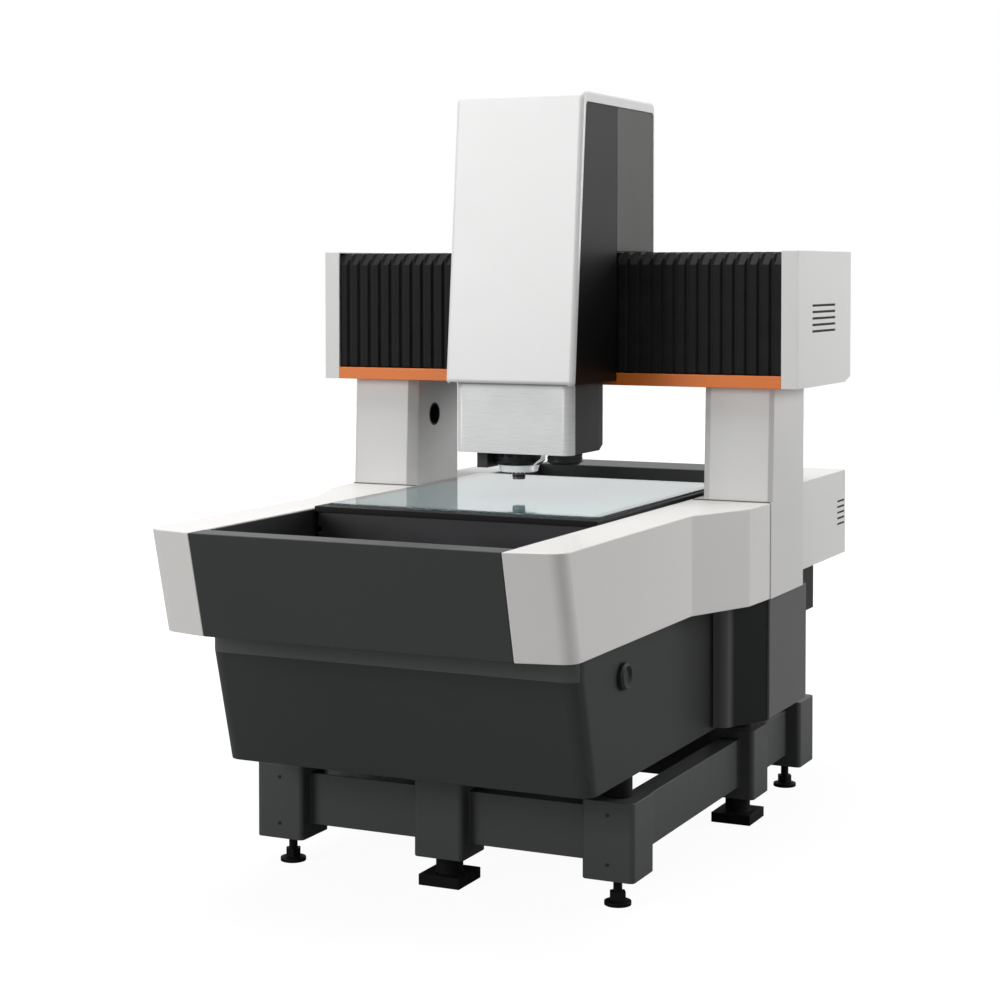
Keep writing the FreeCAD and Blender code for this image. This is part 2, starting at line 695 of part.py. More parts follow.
def make_front_arm(side, sign):
    """A white arm cover: a nose that leans back like the panel, then a straight run and a flare."""
    body = new_body("arm_front_" + side)
    nose = new_sketch(body, "XY", "arm_under")
    front = "front_y + panel_rake"
    corners = [("well_half", front), ("arm_outer", f"{front} + cap_slope"),
               ("arm_outer", f"{front} + nose_long"), ("well_half", f"{front} + nose_long")]
    draw_outline(nose, [(across(sign, x), y) for x, y in corners])
    feature = pad(body, nose, "arm_depth")
    feature.UseCustomVector = True
    feature.AlongSketchNormal = True
    feature.Direction = Vector(0, -1, 1)
    feature.setExpression("Direction.y", bound("-panel_rake"))
    feature.setExpression("Direction.z", bound("arm_depth"))
    outer = 0.98 * size("arm_outer")
    middle = -size("deck_length") / 2 + size("panel_rake") + size("nose_long") / 2
    ease(body, edges_where(body, ALONG_Z, lambda at: abs(at.x) > outer and at.y < middle), "cap_radius")
    corners = [
        ("well_half", "front_y + nose_long"), ("arm_outer", "front_y + nose_long"),
        ("arm_outer", "column_front - flare_run"), ("flare_outer", "column_front - flare_end"),
        ("column_outer - 2", "arm_stop"), ("well_half", "arm_stop"),
    ]
    add_prism(body, "XY", [(across(sign, x), y) for x, y in corners], "arm_under", "deck_height")
    start = size("column_front") - size("flare_run")
    crest = size("column_front") - size("flare_end")
    for place in (start, crest):
        bends = edges_where(body, ALONG_Z, lambda at: abs(at.x) > outer and abs(at.y - place) < 2)
        ease(body, bends, "flare_radius")
    node(body, "arm_front_" + side)


def make_rear_arm(side, sign):
    """A white arm cover behind the column, with vent slots near its end."""
    xs = [across(sign, "well_half"), across(sign, "rear_outer")][::sign]
    body = box("arm_rear_" + side, xs, ("rear_start", "rear_y"), ("arm_under", "deck_height"))
    tail = size("deck_length") / 2 - 5
    outer = 0.98 * size("rear_outer")
    ease(body, edges_where(body, ALONG_Z, lambda at: abs(at.x) > outer and at.y > tail), "rear_radius")
    face = new_sketch(body, "YZ", across(sign, "rear_outer"))
    draw_box(face, "arm_vent_y", "arm_vent_y + arm_vent_long", "arm_vent_z", "arm_vent_z + vent_tall")
    slot = pocket(body, face, "vent_deep", forward=sign < 0)
    repeat_up(body, slot, face)
    node(body, "arm_rear_" + side)


def make_rear_panel():
    """A channel across the back, level with the deck, with a floor lip towards the base."""
    back = "rear_wall_face + rear_channel"
    body = prism("rear_panel", "YZ", [
        ("rear_wall_face", "arm_under + lip_thick"), ("base_rear + free_gap", "arm_under + lip_thick"),
        ("base_rear + free_gap", "arm_under"), ("rear_wall_face + panel_wall", "arm_under"),
        ("rear_wall_face + panel_wall", "deck_height - flange_thick"),
        (f"{back} - panel_wall", "deck_height - flange_thick"), (f"{back} - panel_wall", "arm_under"),
        (back, "arm_under"), (back, "deck_height"), ("rear_wall_face", "deck_height"),
    ], "-panel_half", "panel_half")
    node(body, "rear_panel")


def make_well_lining(side, sign):
    """A dark lining on the inner side of the arms and column."""
    name = "well_wall_" + side
    xs = [across(sign, "lining"), across(sign, "panel_half")]
    low = "arm_under + lip_thick + free_gap"
    body = box(name, xs[::sign], ("front_y + panel_wall + panel_rake", "rear_wall_face - free_gap"),
               (low, "deck_height - wall_drop"))
    node(body, name)


def make_pedestal(side, sign):
    """The dark pedestal under a column: rounded strip, slanting faces and a raised side door."""
    corners = [
        ("body_half", "ped_front"), ("body_half + ped_step", "ped_front"),
        ("ped_outer", "ped_front + ped_run"), ("ped_outer", "ped_back - ped_run"),
        ("body_half + ped_step", "ped_back"), ("body_half", "ped_back"),
    ]
    plan = [(across(sign, x), y) for x, y in corners]
    body = prism("pedestal_" + side, "XY", plan, "ped_low", "ped_high")
    reach = size("body_half") + size("ped_step")
    lips = edges_where(body, ALONG_Z, lambda at: abs(abs(at.x) - reach) < 1)
    ease(body, lips, "ped_round")
    door = new_sketch(body, "YZ", across(sign, "ped_outer"))
    draw_box(door, "ped_front + ped_run + door_inset", "ped_back - ped_run - door_inset",
             "ped_low + 4", "ped_high - 4")
    feature = pad(body, door, "door_thick")
    feature.Reversed = sign < 0
    node(body, "pedestal_" + side)


def make_body_plugs():
    """A dished round plug in each side of the lower body."""
    plugs = []
    for side, sign in SIDES:
        body = turned("plug_" + side, [
            ("0", "0"), ("plug_radius", "0"), ("plug_radius", "plug_out * 0.6"),
            ("plug_radius * 0.8", "plug_out"), ("plug_radius * 0.6", "plug_out * 0.5"),
            ("0", "plug_out * 0.5"),
        ])
        body.Placement = FreeCAD.Placement(Vector(0, 0, 0), FreeCAD.Rotation(ALONG_Y, 90 * sign))
        plugs.append(move(body, across(sign, "body_half"), "plug_y", "plug_z"))
    grouped("body_plugs", plugs)


def column_plan(body, sign, level, lean):
    """Plan of a column's shaft at one height, with its front corners cut off."""
    sketch = new_sketch(body, "XY", level)
    front = f"column_front + {lean}"
    corners = [
        ("column_inner + column_chamfer", front), ("column_outer - column_edge", front),
        ("column_outer", f"{front} + column_edge"), ("column_outer", "column_rear"),
        ("column_inner", "column_rear"), ("column_inner", f"{front} + column_chamfer"),
    ]
    draw_outline(sketch, [(across(sign, x), y) for x, y in corners])
    return sketch


def make_column(side, sign):
    """A white column: foot between the arms, leaning face above, and a round recess inside."""
    name = "column_" + side
    inner = [across(sign, "well_half"), across(sign, "column_outer")]
    body = box(name, inner[::sign], ("column_front", "column_rear"), ("arm_under", "deck_height"))
    low, high = (column_plan(body, sign, level, lean) for level, lean in
                 (("deck_height", "0"), ("bridge_under", "column_rake")))
    loft = body.newObject("PartDesign::AdditiveLoft", name + "_shaft")
    loft.Profile = (low, "")
    loft.Sections = [(high, [""])]
    loft.Ruled = True
    body.Tip = loft
    face = new_sketch(body, "YZ", across(sign, "column_inner"))
    draw_circle(face, "socket_y", "socket_z", "socket_radius")
    pocket(body, face, "socket_deep", forward=sign > 0)
    node(body, name)


def make_bridge_beam():
    """The beam that lies on both columns, with bevelled edges."""
    bevel = "12"
    body = prism("bridge_beam", "YZ", [
        ("beam_front_y", "bridge_under"), ("beam_back_y", "bridge_under"),
        ("beam_back_y", f"beam_top_z - {bevel}"), (f"beam_back_y - {bevel}", "beam_top_z"),
        (f"beam_front_y + {bevel}", "beam_top_z"), ("beam_front_y", f"beam_top_z - {bevel}"),
    ], "-cap_inner + free_gap", "cap_inner - free_gap")
    node(body, "bridge_beam")


def make_trim_strip():
    """The coloured strip under the pleated covers, with a lip back to the beam."""
    body = prism("trim_strip", "YZ", [
        ("bridge_front", "bridge_under"), ("beam_front_y", "bridge_under"),
        ("beam_front_y", "bridge_under + strip_lip"),
        ("bridge_front + strip_thick", "bridge_under + strip_lip"),
        ("bridge_front + strip_thick", "bridge_under + strip_tall"),
        ("bridge_front", "bridge_under + strip_tall"),
    ], "-cap_inner + free_gap", "cap_inner - free_gap")
    node(body, "trim_strip")


def make_end_cap(side, sign):
    """A hollow white cap over the bridge's end, open inwards, with vent slots outside."""
    name = "end_cap_" + side
    xs = [across(sign, "cap_inner"), across(sign, "cap_outer")][::sign]
    body = prism(name, "YZ", [
        ("bridge_front", "bridge_under"), ("cap_back - cap_cut * 4", "bridge_under"),
        ("cap_back", "bridge_under + cap_cut"), ("cap_back", "cap_top"), ("bridge_front", "cap_top"),
    ], xs[0], xs[1])
    inside = new_sketch(body, "YZ", across(sign, "cap_inner"))
    draw_box(inside, "bridge_front + cap_wall", "cap_back - cap_wall",
             "bridge_under + cap_wall + cap_cut", "cap_top - cap_lid")
    pocket(body, inside, "cap_width - cap_wall", forward=sign > 0)
    face = new_sketch(body, "YZ", across(sign, "cap_outer"))
    draw_box(face, "cap_vent_y", "cap_vent_y + cap_vent_long", "cap_vent_z", "cap_vent_z + vent_tall")
    slot = pocket(body, face, "vent_deep", forward=sign < 0)
    repeat_up(body, slot, face)
    node(body, name)


def bellows_section(x, fold):
    """Corners of a pleated cover's section at one x; fold moves its outer side inwards."""
    front = size("bellows_front") + fold
    top = size("bellows_top") - fold
    back = size("bellows_back")
    low = size("bellows_low")
    bevel = size("bellows_bevel")
    skin_y = size("bellows_front") + size("pleat_deep") + size("pleat_skin")
    skin_z = size("bellows_top") - size("pleat_deep") - size("pleat_skin")
    inner = bevel - size("pleat_skin")
    points = [
        (front, low), (front, top - bevel), (front + bevel, top), (back, top),
        (back, skin_z), (skin_y + inner, skin_z), (skin_y, skin_z - inner), (skin_y, low),
    ]
    return [Vector(x, y, z) for y, z in points]


def flat_face(corners):
    return Part.Face(Part.makePolygon(corners + corners[:1]))


def make_bellows(side, start, stop, count):
    """A pleated cover: flat folds between sections that alternate between valley and ridge."""
    sections = []
    for step in range(2 * count + 1):
        x = start + (stop - start) * step / (2 * count)
        sections.append(bellows_section(x, size("pleat_deep") if step % 2 == 0 else 0))
    faces = [flat_face(sections[0]), flat_face(sections[-1])]
    for near, far in zip(sections, sections[1:]):
        for corner in range(len(near)):
            after = (corner + 1) % len(near)
            faces.append(flat_face([near[corner], near[after], far[after], far[corner]]))
    cover = doc.addObject("Part::Feature", "bellows_" + side)
    cover.Shape = Part.makeSolid(Part.makeShell(faces))
    node(cover, "bellows_" + side)


def make_bridge_covers():
    """Pleated covers from the carriage plate to the insides of the end caps."""
    end = size("cap_outer") - size("cap_wall") - 0.5
    gap = 0.5
    make_bellows("left", -end, size("plate_left") - gap, int(size("pleats_left")))
    make_bellows("right", size("plate_right") + gap, end, int(size("pleats_right")))


def guide_outline(centre, foot, up):
    """Section of a guide rail with a waist: across, and up from its foot."""
    half = "guide_wide / 2"
    waist = "guide_wide * 0.34"
    rise = [("0", half), ("guide_tall * 0.35", half), ("guide_tall * 0.5", waist),
            ("guide_tall * 0.7", half), ("guide_tall", half)]
    points = [(f"{centre} - {x}", f"{foot} + {up} * ({z})") for z, x in rise]
    points += [(f"{centre} + {x}", f"{foot} + {up} * ({z})") for z, x in reversed(rise)]
    return points


def runner_outline(centre, foot, up, reach):
    """Section of a runner that straddles a guide rail; reach is its outer face."""
    half = "runner_wide / 2"
    slot = "(guide_wide / 2 + runner_gap)"
    skirt = f"{foot} + {up} * runner_lift"
    roof = f"{foot} + {up} * (guide_tall + runner_gap)"
    return [
        (f"{centre} - {half}", skirt), (f"{centre} - {half}", reach), (f"{centre} + {half}", reach),
        (f"{centre} + {half}", skirt), (f"{centre} + {slot}", skirt), (f"{centre} + {slot}", roof),
        (f"{centre} - {slot}", roof), (f"{centre} - {slot}", skirt),
    ]


def swapped(points):
    return [(second, first) for first, second in points]


def make_stage_guides():
    """Two rails on the bed, and four runners under the stage body."""
    rails = []
    runners = []
    for side, sign in SIDES:
        centre = across(sign, "guide_half")
        rails.append(prism("guide_" + side, "XZ", guide_outline(centre, "bed_top", 1),
                           "guide_front", "guide_back"))
        for end, way in (("front", -1), ("back", 1)):
            middle = f"stage_y + {way} * runner_spread"
            runners.append(prism(f"runner_{side}_{end}", "XZ",
                                 runner_outline(centre, "bed_top", 1, "stage_low"),
                                 f"{middle} - runner_long / 2", f"{middle} + runner_long / 2"))
    grouped("y_rails", rails)
    grouped("y_runners", runners)


def make_stage_body():
    """The thick stage body, with a groove along each side and bevelled lower edges."""
    half = "stage_half"
    mid = "(stage_low + frame_low) / 2"
    body = prism("stage_body", "XZ", [
        (f"-{half} + stage_bevel", "stage_low"), (f"{half} - stage_bevel", "stage_low"),
        (half, "stage_low + stage_bevel"), (half, f"{mid} - groove_half"),
        (f"{half} - groove_deep", f"{mid} - groove_half"), (f"{half} - groove_deep", f"{mid} + groove_half"),
        (half, f"{mid} + groove_half"), (half, "frame_low"), (f"-{half}", "frame_low"),
        (f"-{half}", f"{mid} + groove_half"), (f"-{half} + groove_deep", f"{mid} + groove_half"),
        (f"-{half} + groove_deep", f"{mid} - groove_half"), (f"-{half}", f"{mid} - groove_half"),
        (f"-{half}", "stage_low + stage_bevel"),
    ], "stage_front", "stage_back")
    node(body, "stage_body")


def glass_edges(margin):
    """Left, right, front and rear of the glass, widened by a margin."""
    return (f"-glass_half - ({margin})", f"glass_half + ({margin})",
            f"glass_front - ({margin})", f"glass_back + ({margin})")


def make_stage_frame():
    """The frame round the glass: a window with a ledge that the glass lies on."""
    body = box("stage_frame", ("-frame_half", "frame_half"), ("frame_front", "frame_back"),
               ("frame_low", "frame_high"))
    seat = new_sketch(body, "XY", "frame_high")
    draw_box(seat, *glass_edges("glass_fit"))
    pocket(body, seat, "frame_high - glass_low")
    window = new_sketch(body, "XY", "glass_low")
    draw_box(window, *glass_edges("-ledge"))
    pocket(body, window, "glass_low - frame_low")
    node(body, "stage_frame")


def make_stage_glass():
    """The glass plate with rounded corners, and the light panel in the frame's window."""
    left, right, front, rear = glass_edges("0")
    body = box("stage_glass", (left, right), (front, rear), ("glass_low", "glass_high"))
    ease(body, edges_where(body, ALONG_Z, lambda at: True), "glass_corner")
    node(body, "stage_glass")
    left, right, front, rear = glass_edges("-ledge - glass_fit")
    panel = box("light_panel", (left, right), (front, rear), ("light_low", "glass_low - free_gap"))
    node(panel, "light_panel")


def make_stage_drive():
    """Stage screw with its nut, and the bearings and motor that hold it on the bed."""
    body = new_body("y_screw")
    for radius, low, high in (("screw_radius", "screw_front + bearing_long", "screw_back - bearing_long"),
                              ("screw_radius * 0.7", "screw_front", "screw_front + bearing_long"),
                              ("screw_radius * 0.7", "screw_back - bearing_long", "screw_back")):
        sketch = new_sketch(body, "XZ", high)
        draw_circle(sketch, "0", "screw_z", radius)
        pad(body, sketch, f"{high} - ({low})")
    node(body, "y_screw")

    nut = box("y_nut", ("-nut_half", "nut_half"), ("stage_y - nut_long / 2", "stage_y + nut_long / 2"),
              ("screw_z - screw_radius * 1.7", "stage_low"))
    hole = new_sketch(nut, "XZ", "stage_y + nut_long / 2")
    draw_circle(hole, "0", "screw_z", "screw_radius + screw_fit")
    pocket(nut, hole, "nut_long", forward=True)
    node(nut, "y_nut")

    pieces = []
    for name, low in (("front", "screw_front"), ("back", "screw_back - bearing_long")):
        block = box("bearing_" + name, ("-bearing_half", "bearing_half"),
                    (f"{low} + free_gap", f"{low} + bearing_long - free_gap"),
                    ("bed_top", "screw_z + bearing_rise"))
        bore = new_sketch(block, "XZ", f"{low} + bearing_long")
        draw_circle(bore, "0", "screw_z", "screw_radius * 0.7 + screw_fit")
        pocket(block, bore, "bearing_long", forward=True)
        pieces.append(block)
    motor = prism("motor", "XZ", [
        ("-motor_size / 2", "screw_z - motor_size / 2 + 8"), ("-motor_size / 2 + 8", "bed_top + free_gap"),
        ("motor_size / 2 - 8", "bed_top + free_gap"), ("motor_size / 2", "screw_z - motor_size / 2 + 8"),
        ("motor_size / 2", "screw_z + motor_size / 2 - 8"),
        ("motor_size / 2 - 8", "screw_z + motor_size / 2"),
        ("-motor_size / 2 + 8", "screw_z + motor_size / 2"),
        ("-motor_size / 2", "screw_z + motor_size / 2 - 8"),
    ], "screw_back + free_gap", "screw_back + motor_long")
    pieces.append(motor)
    grouped("y_drive", pieces)


def make_bridge_guides():
    """Two rails on the beam's front face."""
    rails = []
    for name, height in (("lower", "cross_low"), ("upper", "cross_high")):
        outline = swapped(guide_outline(height, "beam_front_y", -1))
        rails.append(prism("cross_" + name, "YZ", outline, "-cap_inner + free_gap", "cap_inner - free_gap"))
    grouped("x_rails", rails)


def make_carriage():
    """The carriage plate with its four runners, and the plate that reaches over the bridge."""
    pieces = [box("carriage_sheet", ("plate_left", "plate_right"), ("plate_front", "plate_back"),
                  ("plate_low", "plate_high"))]
    for name, height in (("low", "cross_low"), ("high", "cross_high")):
        outline = swapped(runner_outline(height, "beam_front_y", -1, "plate_back"))
        pieces.append(prism(f"cross_runner_{name}_left", "YZ", outline,
                            "plate_left", "plate_left + cross_runner"))
        pieces.append(prism(f"cross_runner_{name}_right", "YZ", outline,
                            "plate_right - cross_runner", "plate_right"))
    joined("carriage_plate", pieces)
    gap = "side_inset + side_thick + free_gap"
    saddle = box("head_saddle", (f"head_left + {gap}", f"head_right - ({gap})"),
                 ("plate_back + free_gap", "head_back - head_wall - free_gap"),
                 ("head_over", "head_over + saddle_thick"))
    node(saddle, "head_saddle")


def head_profile(margin):
    """Front foot, front top, rear and top of the head cover, moved in by a margin."""
    front = f"head_front + {margin}"
    return front, f"{front} + head_rake", f"head_back - ({margin})"


def make_head_cover():
    """The white cover: front, top and back in one bent piece, thinner in front of the optics."""
    foot, brow, back = head_profile("0")
    inner_foot, inner_brow, inner_back = head_profile("head_wall")
    body = prism("head_cover", "YZ", [
        (foot, "head_low"), (inner_foot, "head_low"), (inner_brow, "head_under"),
        (inner_back, "head_under"), (inner_back, "head_over"), (back, "head_over"),
        (back, "head_high"), (brow, "head_high"),
    ], "head_left", "head_right")
    high = size("head_high") - 2
    bends = edges_where(body, ALONG_X, lambda at: at.z > high)
    ease(body, bends, "head_round")
    under = size("head_under")
    ease(body, edges_where(body, ALONG_X, lambda at: abs(at.z - under) < 1), "head_inner")
    low = size("head_low")
    ease(body, edges_where(body, ALONG_Y, lambda at: abs(at.z - low) < 1), "head_foot")
    foot_z = size("head_low") + 2
    front = size("head_front") + 20
    rim = edges_where(body, ALONG_Z, lambda at: at.y < size("head_front") + size("head_rake") + 5
                      and at.y < front + 0.08 * (at.z - foot_z) - 10 and abs(at.z - foot_z) > 20)
    ease(body, rim, "head_edge")
    recess = new_sketch(body, "YZ", "house_left - recess_room")
    top = "head_low + recess_tall"
    lean = "head_rake * recess_tall / (head_high - head_low)"
    draw_outline(recess, [
        (f"{foot} + front_sheet", "head_low"), (f"{inner_foot} + 1", "head_low"),
        (f"{inner_foot} + head_rake", top), (f"{foot} + front_sheet + {lean}", top),
    ])
    pocket(body, recess, "house_right - house_left + 2 * recess_room", forward=True)
    node(body, "head_cover")


def make_head_side(side, sign):
    """Two dark side panels inside the cover's rim: one in front of the bridge and one over it."""
    foot, brow, back = head_profile("head_wall + free_gap")
    top = "head_under - free_gap"
    xs = {1: ("head_right - side_inset - side_thick", "head_right - side_inset"),
          -1: ("head_left + side_inset", "head_left + side_inset + side_thick")}[sign]
    high = size("head_under") - 2
    for name, outline in (
        ("head_side_" + side, [(foot, "head_low + 3"), ("side_back", "head_low + 3"), ("side_back", top),
                               (brow, top)]),
        ("head_rear_" + side, [("side_back + side_seam", "head_over"), (back, "head_over"), (back, top),
                               ("side_back + side_seam", top)]),
    ):
        body = prism(name, "YZ", outline, xs[0], xs[1])
        middle = size("side_back")
        corner = edges_where(body, ALONG_X, lambda at: at.z > high and abs(at.y - middle) > 5)
        ease(body, corner, "head_inner")
        node(body, name)


def make_head_guides():
    """Two upright rails on the carriage plate, the head screw and its motor."""
    rails = []
    for side, sign in SIDES:
        outline = guide_outline(f"plate_mid + {sign} * lift_half", "plate_front", -1)
        rails.append(prism("lift_rail_" + side, "XY", outline, "lift_low", "lift_high"))
    grouped("z_rails", rails)

    screw = new_body("z_screw")
    sketch = new_sketch(screw, "XY", "lift_low + free_gap")
    draw_circle(sketch, "plate_mid", "lift_screw_y", "lift_radius")
    pad(screw, sketch, "lift_motor_low - lift_low - 2 * free_gap")
    node(screw, "z_screw")

    half = "lift_motor / 2"
    motor = box("lift_motor_case", (f"plate_mid - {half}", f"plate_mid + {half}"),
                (f"lift_screw_y - {half}", f"lift_screw_y + {half}"), ("lift_motor_low", "lift_motor_high"))
    ease(motor, edges_where(motor, ALONG_Z, lambda at: True), "post_corner")
    shelf = prism("lift_shelf", "YZ", [
        ("lift_screw_y - 40", "lift_motor_low - 12"), ("plate_back", "lift_motor_low - 12"),
        ("plate_back", "lift_motor_low"), ("lift_screw_y - 40", "lift_motor_low"),
    ], "plate_left + 20", "plate_right - 20")
    hole = new_sketch(shelf, "XY", "lift_motor_low")
    draw_circle(hole, "plate_mid", "lift_screw_y", "lift_radius + screw_fit")
    pocket(shelf, hole, "12")
    neck = box("lift_neck", ("plate_left + 40", "plate_right - 40"), ("plate_front", "plate_back"),
               ("plate_high", "lift_motor_low - 12"))
    joined("z_motor", [motor, shelf, neck])


def make_lifting_plate():
    """The plate that climbs the upright rails, with its runners and the screw's nut."""
    body = prism("lifting_sheet", "YZ", [
        ("house_back", "house_low"), ("slide_back - slide_cut_long", "house_low"),
        ("slide_back", "house_low + slide_cut_tall"), ("slide_back", "slide_high"),
        ("house_back", "slide_high"),
    ], "house_left + 3", "house_right - 3")
    pieces = [body]
    for side, sign in SIDES:
        centre = f"plate_mid + {sign} * lift_half"
        outline = runner_outline(centre, "plate_front", -1, "slide_back")
        for name, low in (("low", "lift_low + 30"), ("high", "slide_high - lift_runner - 10")):
            pieces.append(prism(f"lift_runner_{side}_{name}", "XY", outline, low, f"{low} + lift_runner"))
    nut = box("lift_nut", ("plate_mid - 20", "plate_mid + 20"),
              ("slide_back", "lift_screw_y + 18"), ("slide_high - 80", "slide_high - 30"))
    hole = new_sketch(nut, "XY", "slide_high - 30")
    draw_circle(hole, "plate_mid", "lift_screw_y", "lift_radius + screw_fit")
    pocket(nut, hole, "50")
    pieces.append(nut)
    joined("lifting_plate", pieces)


def make_optics_housing():
    """The housing below the head: a dark case with a bright front cover."""
    case = box("optics_case", ("house_left + 1", "house_right - 1"),
               ("house_front + house_skin", "house_back"), ("house_low", "house_high"))
    node(case, "optics_case")
    cover = prism("optics_front", "YZ", [
        ("house_front", "house_low"), ("house_front + house_skin", "house_low"),
        ("house_front + house_skin", "house_high"), ("house_front + house_lean", "house_high"),
        ("house_front", "head_low"),
    ], "house_left", "house_right")
    front = size("house_front") + 1
    brow = size("head_low")
    ease(cover, edges_where(cover, ALONG_Z, lambda at: at.y < front and at.z < brow), "house_round")
    node(cover, "optics_front")


def make_optics():
    """Turret, ring light, objective and distance sensor under the housing."""
    turret = turned("turret_drum", [
        ("0", "turret_low"), ("turret_radius - 8", "turret_low"),
        ("turret_radius", "turret_low + 8"), ("turret_radius", "house_low"), ("0", "house_low"),
    ])
    move(turret, "axis_x", "axis_y")
    edge = "axis_x - turret_radius"
    block = box("turret_side", (f"{edge} - side_block / 2", f"{edge} + side_block / 2"),
                ("axis_y - turret_radius - side_block / 2", "axis_y - turret_radius / 4"),
                ("side_block_low", "house_low"))
    joined("optics_turret", [turret, block])

    ring = turned("ring_light", [
        ("lens_body + free_gap", "ring_low + 6"), ("ring_outer - 5", "ring_low"),
        ("ring_outer", "ring_high"), ("lens_body + free_gap", "ring_high"),
    ])
    node(move(ring, "axis_x", "axis_y"), "ring_light")

    lens = turned("objective", [
        ("0", "lens_low"), ("lens_radius", "lens_low"), ("lens_radius", "ring_low - 4"),
        ("lens_body", "ring_low + 6"), ("lens_body", "turret_low"), ("0", "turret_low"),
    ])
    node(move(lens, "axis_x", "axis_y"), "objective")

    sensor = turned("distance_sensor", [
        ("0", "sensor_low"), ("sensor_radius * 0.82", "sensor_low"), ("sensor_radius", "sensor_low + 7"),
        ("sensor_radius", "house_low"), ("0", "house_low"),
    ])
    node(move(sensor, "sensor_x", "sensor_y"), "distance_sensor")


def build():
    make_stand()
    make_feet()
    make_body_mounts()
    make_lower_body()
    make_granite_base()
    make_front_panel()
    make_rear_panel()
    for side, sign in SIDES:
        make_front_arm(side, sign)
        make_rear_arm(side, sign)
        make_well_lining(side, sign)
        make_pedestal(side, sign)
        make_column(side, sign)
        make_end_cap(side, sign)
        make_head_side(side, sign)
    make_body_plugs()
    make_bridge_beam()
    make_trim_strip()
    make_bridge_covers()
    make_stage_guides()
    make_stage_body()
    make_stage_frame()
    make_stage_glass()
    make_stage_drive()
    make_bridge_guides()
    make_carriage()
    make_head_cover()
    make_head_guides()
    make_lifting_plate()
    make_optics_housing()
    make_optics()


def check_model():
    """Stop if any object failed or any sub-part is empty, broken or in pieces it shouldn't have."""
    doc.recompute()
    for item in doc.Objects:
        if "Invalid" in item.State or "Error" in item.State:
            raise RuntimeError("failed object: " + item.Name + " " + str(item.State))
    for item in nodes:
        if item.Shape.isNull() or not item.Shape.isValid() or not item.Shape.Solids:
            raise RuntimeError("bad shape: " + item.Label)


def write_parts():
    os.makedirs("parts", exist_ok=True)
    for item in nodes:
        item.Shape.exportStep("parts/" + item.Label + ".step")
    print("sub-parts written:", len(nodes))


build()
check_model()
write_parts()
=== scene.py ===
# %% [markdown]
# A vision measuring machine stands on the floor like a table with a bridge over it. The engineering
# model gives every solid in its true place, and this lesson dresses that model: softened edges,
# painted and ground finishes, pleated covers, screws and the optics under the head.

# %% Load the engineering model
import math

import bmesh
import bpy
from mathutils import Matrix, Vector


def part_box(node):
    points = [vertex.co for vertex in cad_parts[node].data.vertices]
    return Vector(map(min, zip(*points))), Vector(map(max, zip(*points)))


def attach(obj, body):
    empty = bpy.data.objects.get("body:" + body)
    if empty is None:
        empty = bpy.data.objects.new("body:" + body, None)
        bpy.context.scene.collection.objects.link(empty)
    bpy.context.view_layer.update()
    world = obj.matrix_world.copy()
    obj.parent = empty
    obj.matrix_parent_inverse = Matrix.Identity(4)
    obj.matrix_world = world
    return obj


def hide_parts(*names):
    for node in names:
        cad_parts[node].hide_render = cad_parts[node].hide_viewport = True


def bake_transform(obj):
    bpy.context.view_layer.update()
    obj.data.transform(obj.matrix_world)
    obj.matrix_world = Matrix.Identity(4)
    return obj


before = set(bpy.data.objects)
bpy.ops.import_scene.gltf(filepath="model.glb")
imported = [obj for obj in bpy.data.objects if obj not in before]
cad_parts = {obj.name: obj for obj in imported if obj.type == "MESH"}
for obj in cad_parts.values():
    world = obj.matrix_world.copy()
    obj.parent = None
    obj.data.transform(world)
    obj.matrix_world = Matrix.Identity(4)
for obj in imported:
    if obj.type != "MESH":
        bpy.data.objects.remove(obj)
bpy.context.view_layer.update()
print("model loaded:", len(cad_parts), "nodes")

# %% [markdown]
# Every finish reads its pattern from Object coordinates, which are metres here, so a noise of scale
# 400 has grains of about 2.5 mm. A small helper makes a material, hands back its node tree and keeps
# the plain numbers on the shader's own sockets.

# %% Material helpers
finishes = {}


def new_finish(name, roughness=0.5, metallic=0.0, coat=0.0, shine=0.5):
    """A material with a Principled shader that is ready for patterns; shine is its specular level."""
    material = bpy.data.materials.new(name)
    material.use_nodes = True
    shader = material.node_tree.nodes["Principled BSDF"]
    shader.inputs["Roughness"].default_value = roughness
    shader.inputs["Metallic"].default_value = metallic
    shader.inputs["Coat Weight"].default_value = coat
    shader.inputs["Specular IOR Level"].default_value = shine
    finishes[name] = material
    return material, material.node_tree, shader


def add_node(tree, kind, **settings):
    node = tree.nodes.new(kind)
    for key, value in settings.items():
        setattr(node, key, value)
    return node


def new_group(name, inputs, outputs):
    """A shader node group with named sockets, given as (name, socket type, default)."""
    tree = bpy.data.node_groups.new(name, "ShaderNodeTree")
    for label, kind, value in inputs:
        socket = tree.interface.new_socket(label, in_out="INPUT", socket_type=kind)
        socket.default_value = value
    for label, kind in outputs:
        tree.interface.new_socket(label, in_out="OUTPUT", socket_type=kind)
    source = tree.nodes.new("NodeGroupInput")
    target = tree.nodes.new("NodeGroupOutput")
    return tree, source, target


FLOAT, COLOUR, NORMAL = "NodeSocketFloat", "NodeSocketColor", "NodeSocketVector"


def noise(tree, vector, scale, detail=3.0, roughness=0.5):
    node = add_node(tree, "ShaderNodeTexNoise")
    node.inputs["Detail"].default_value = detail
    node.inputs["Roughness"].default_value = roughness
    tree.links.new(vector, node.inputs["Vector"])
    if isinstance(scale, (int, float)):
        node.inputs["Scale"].default_value = scale
    else:
        tree.links.new(scale, node.inputs["Scale"])
    return node.outputs["Fac"]


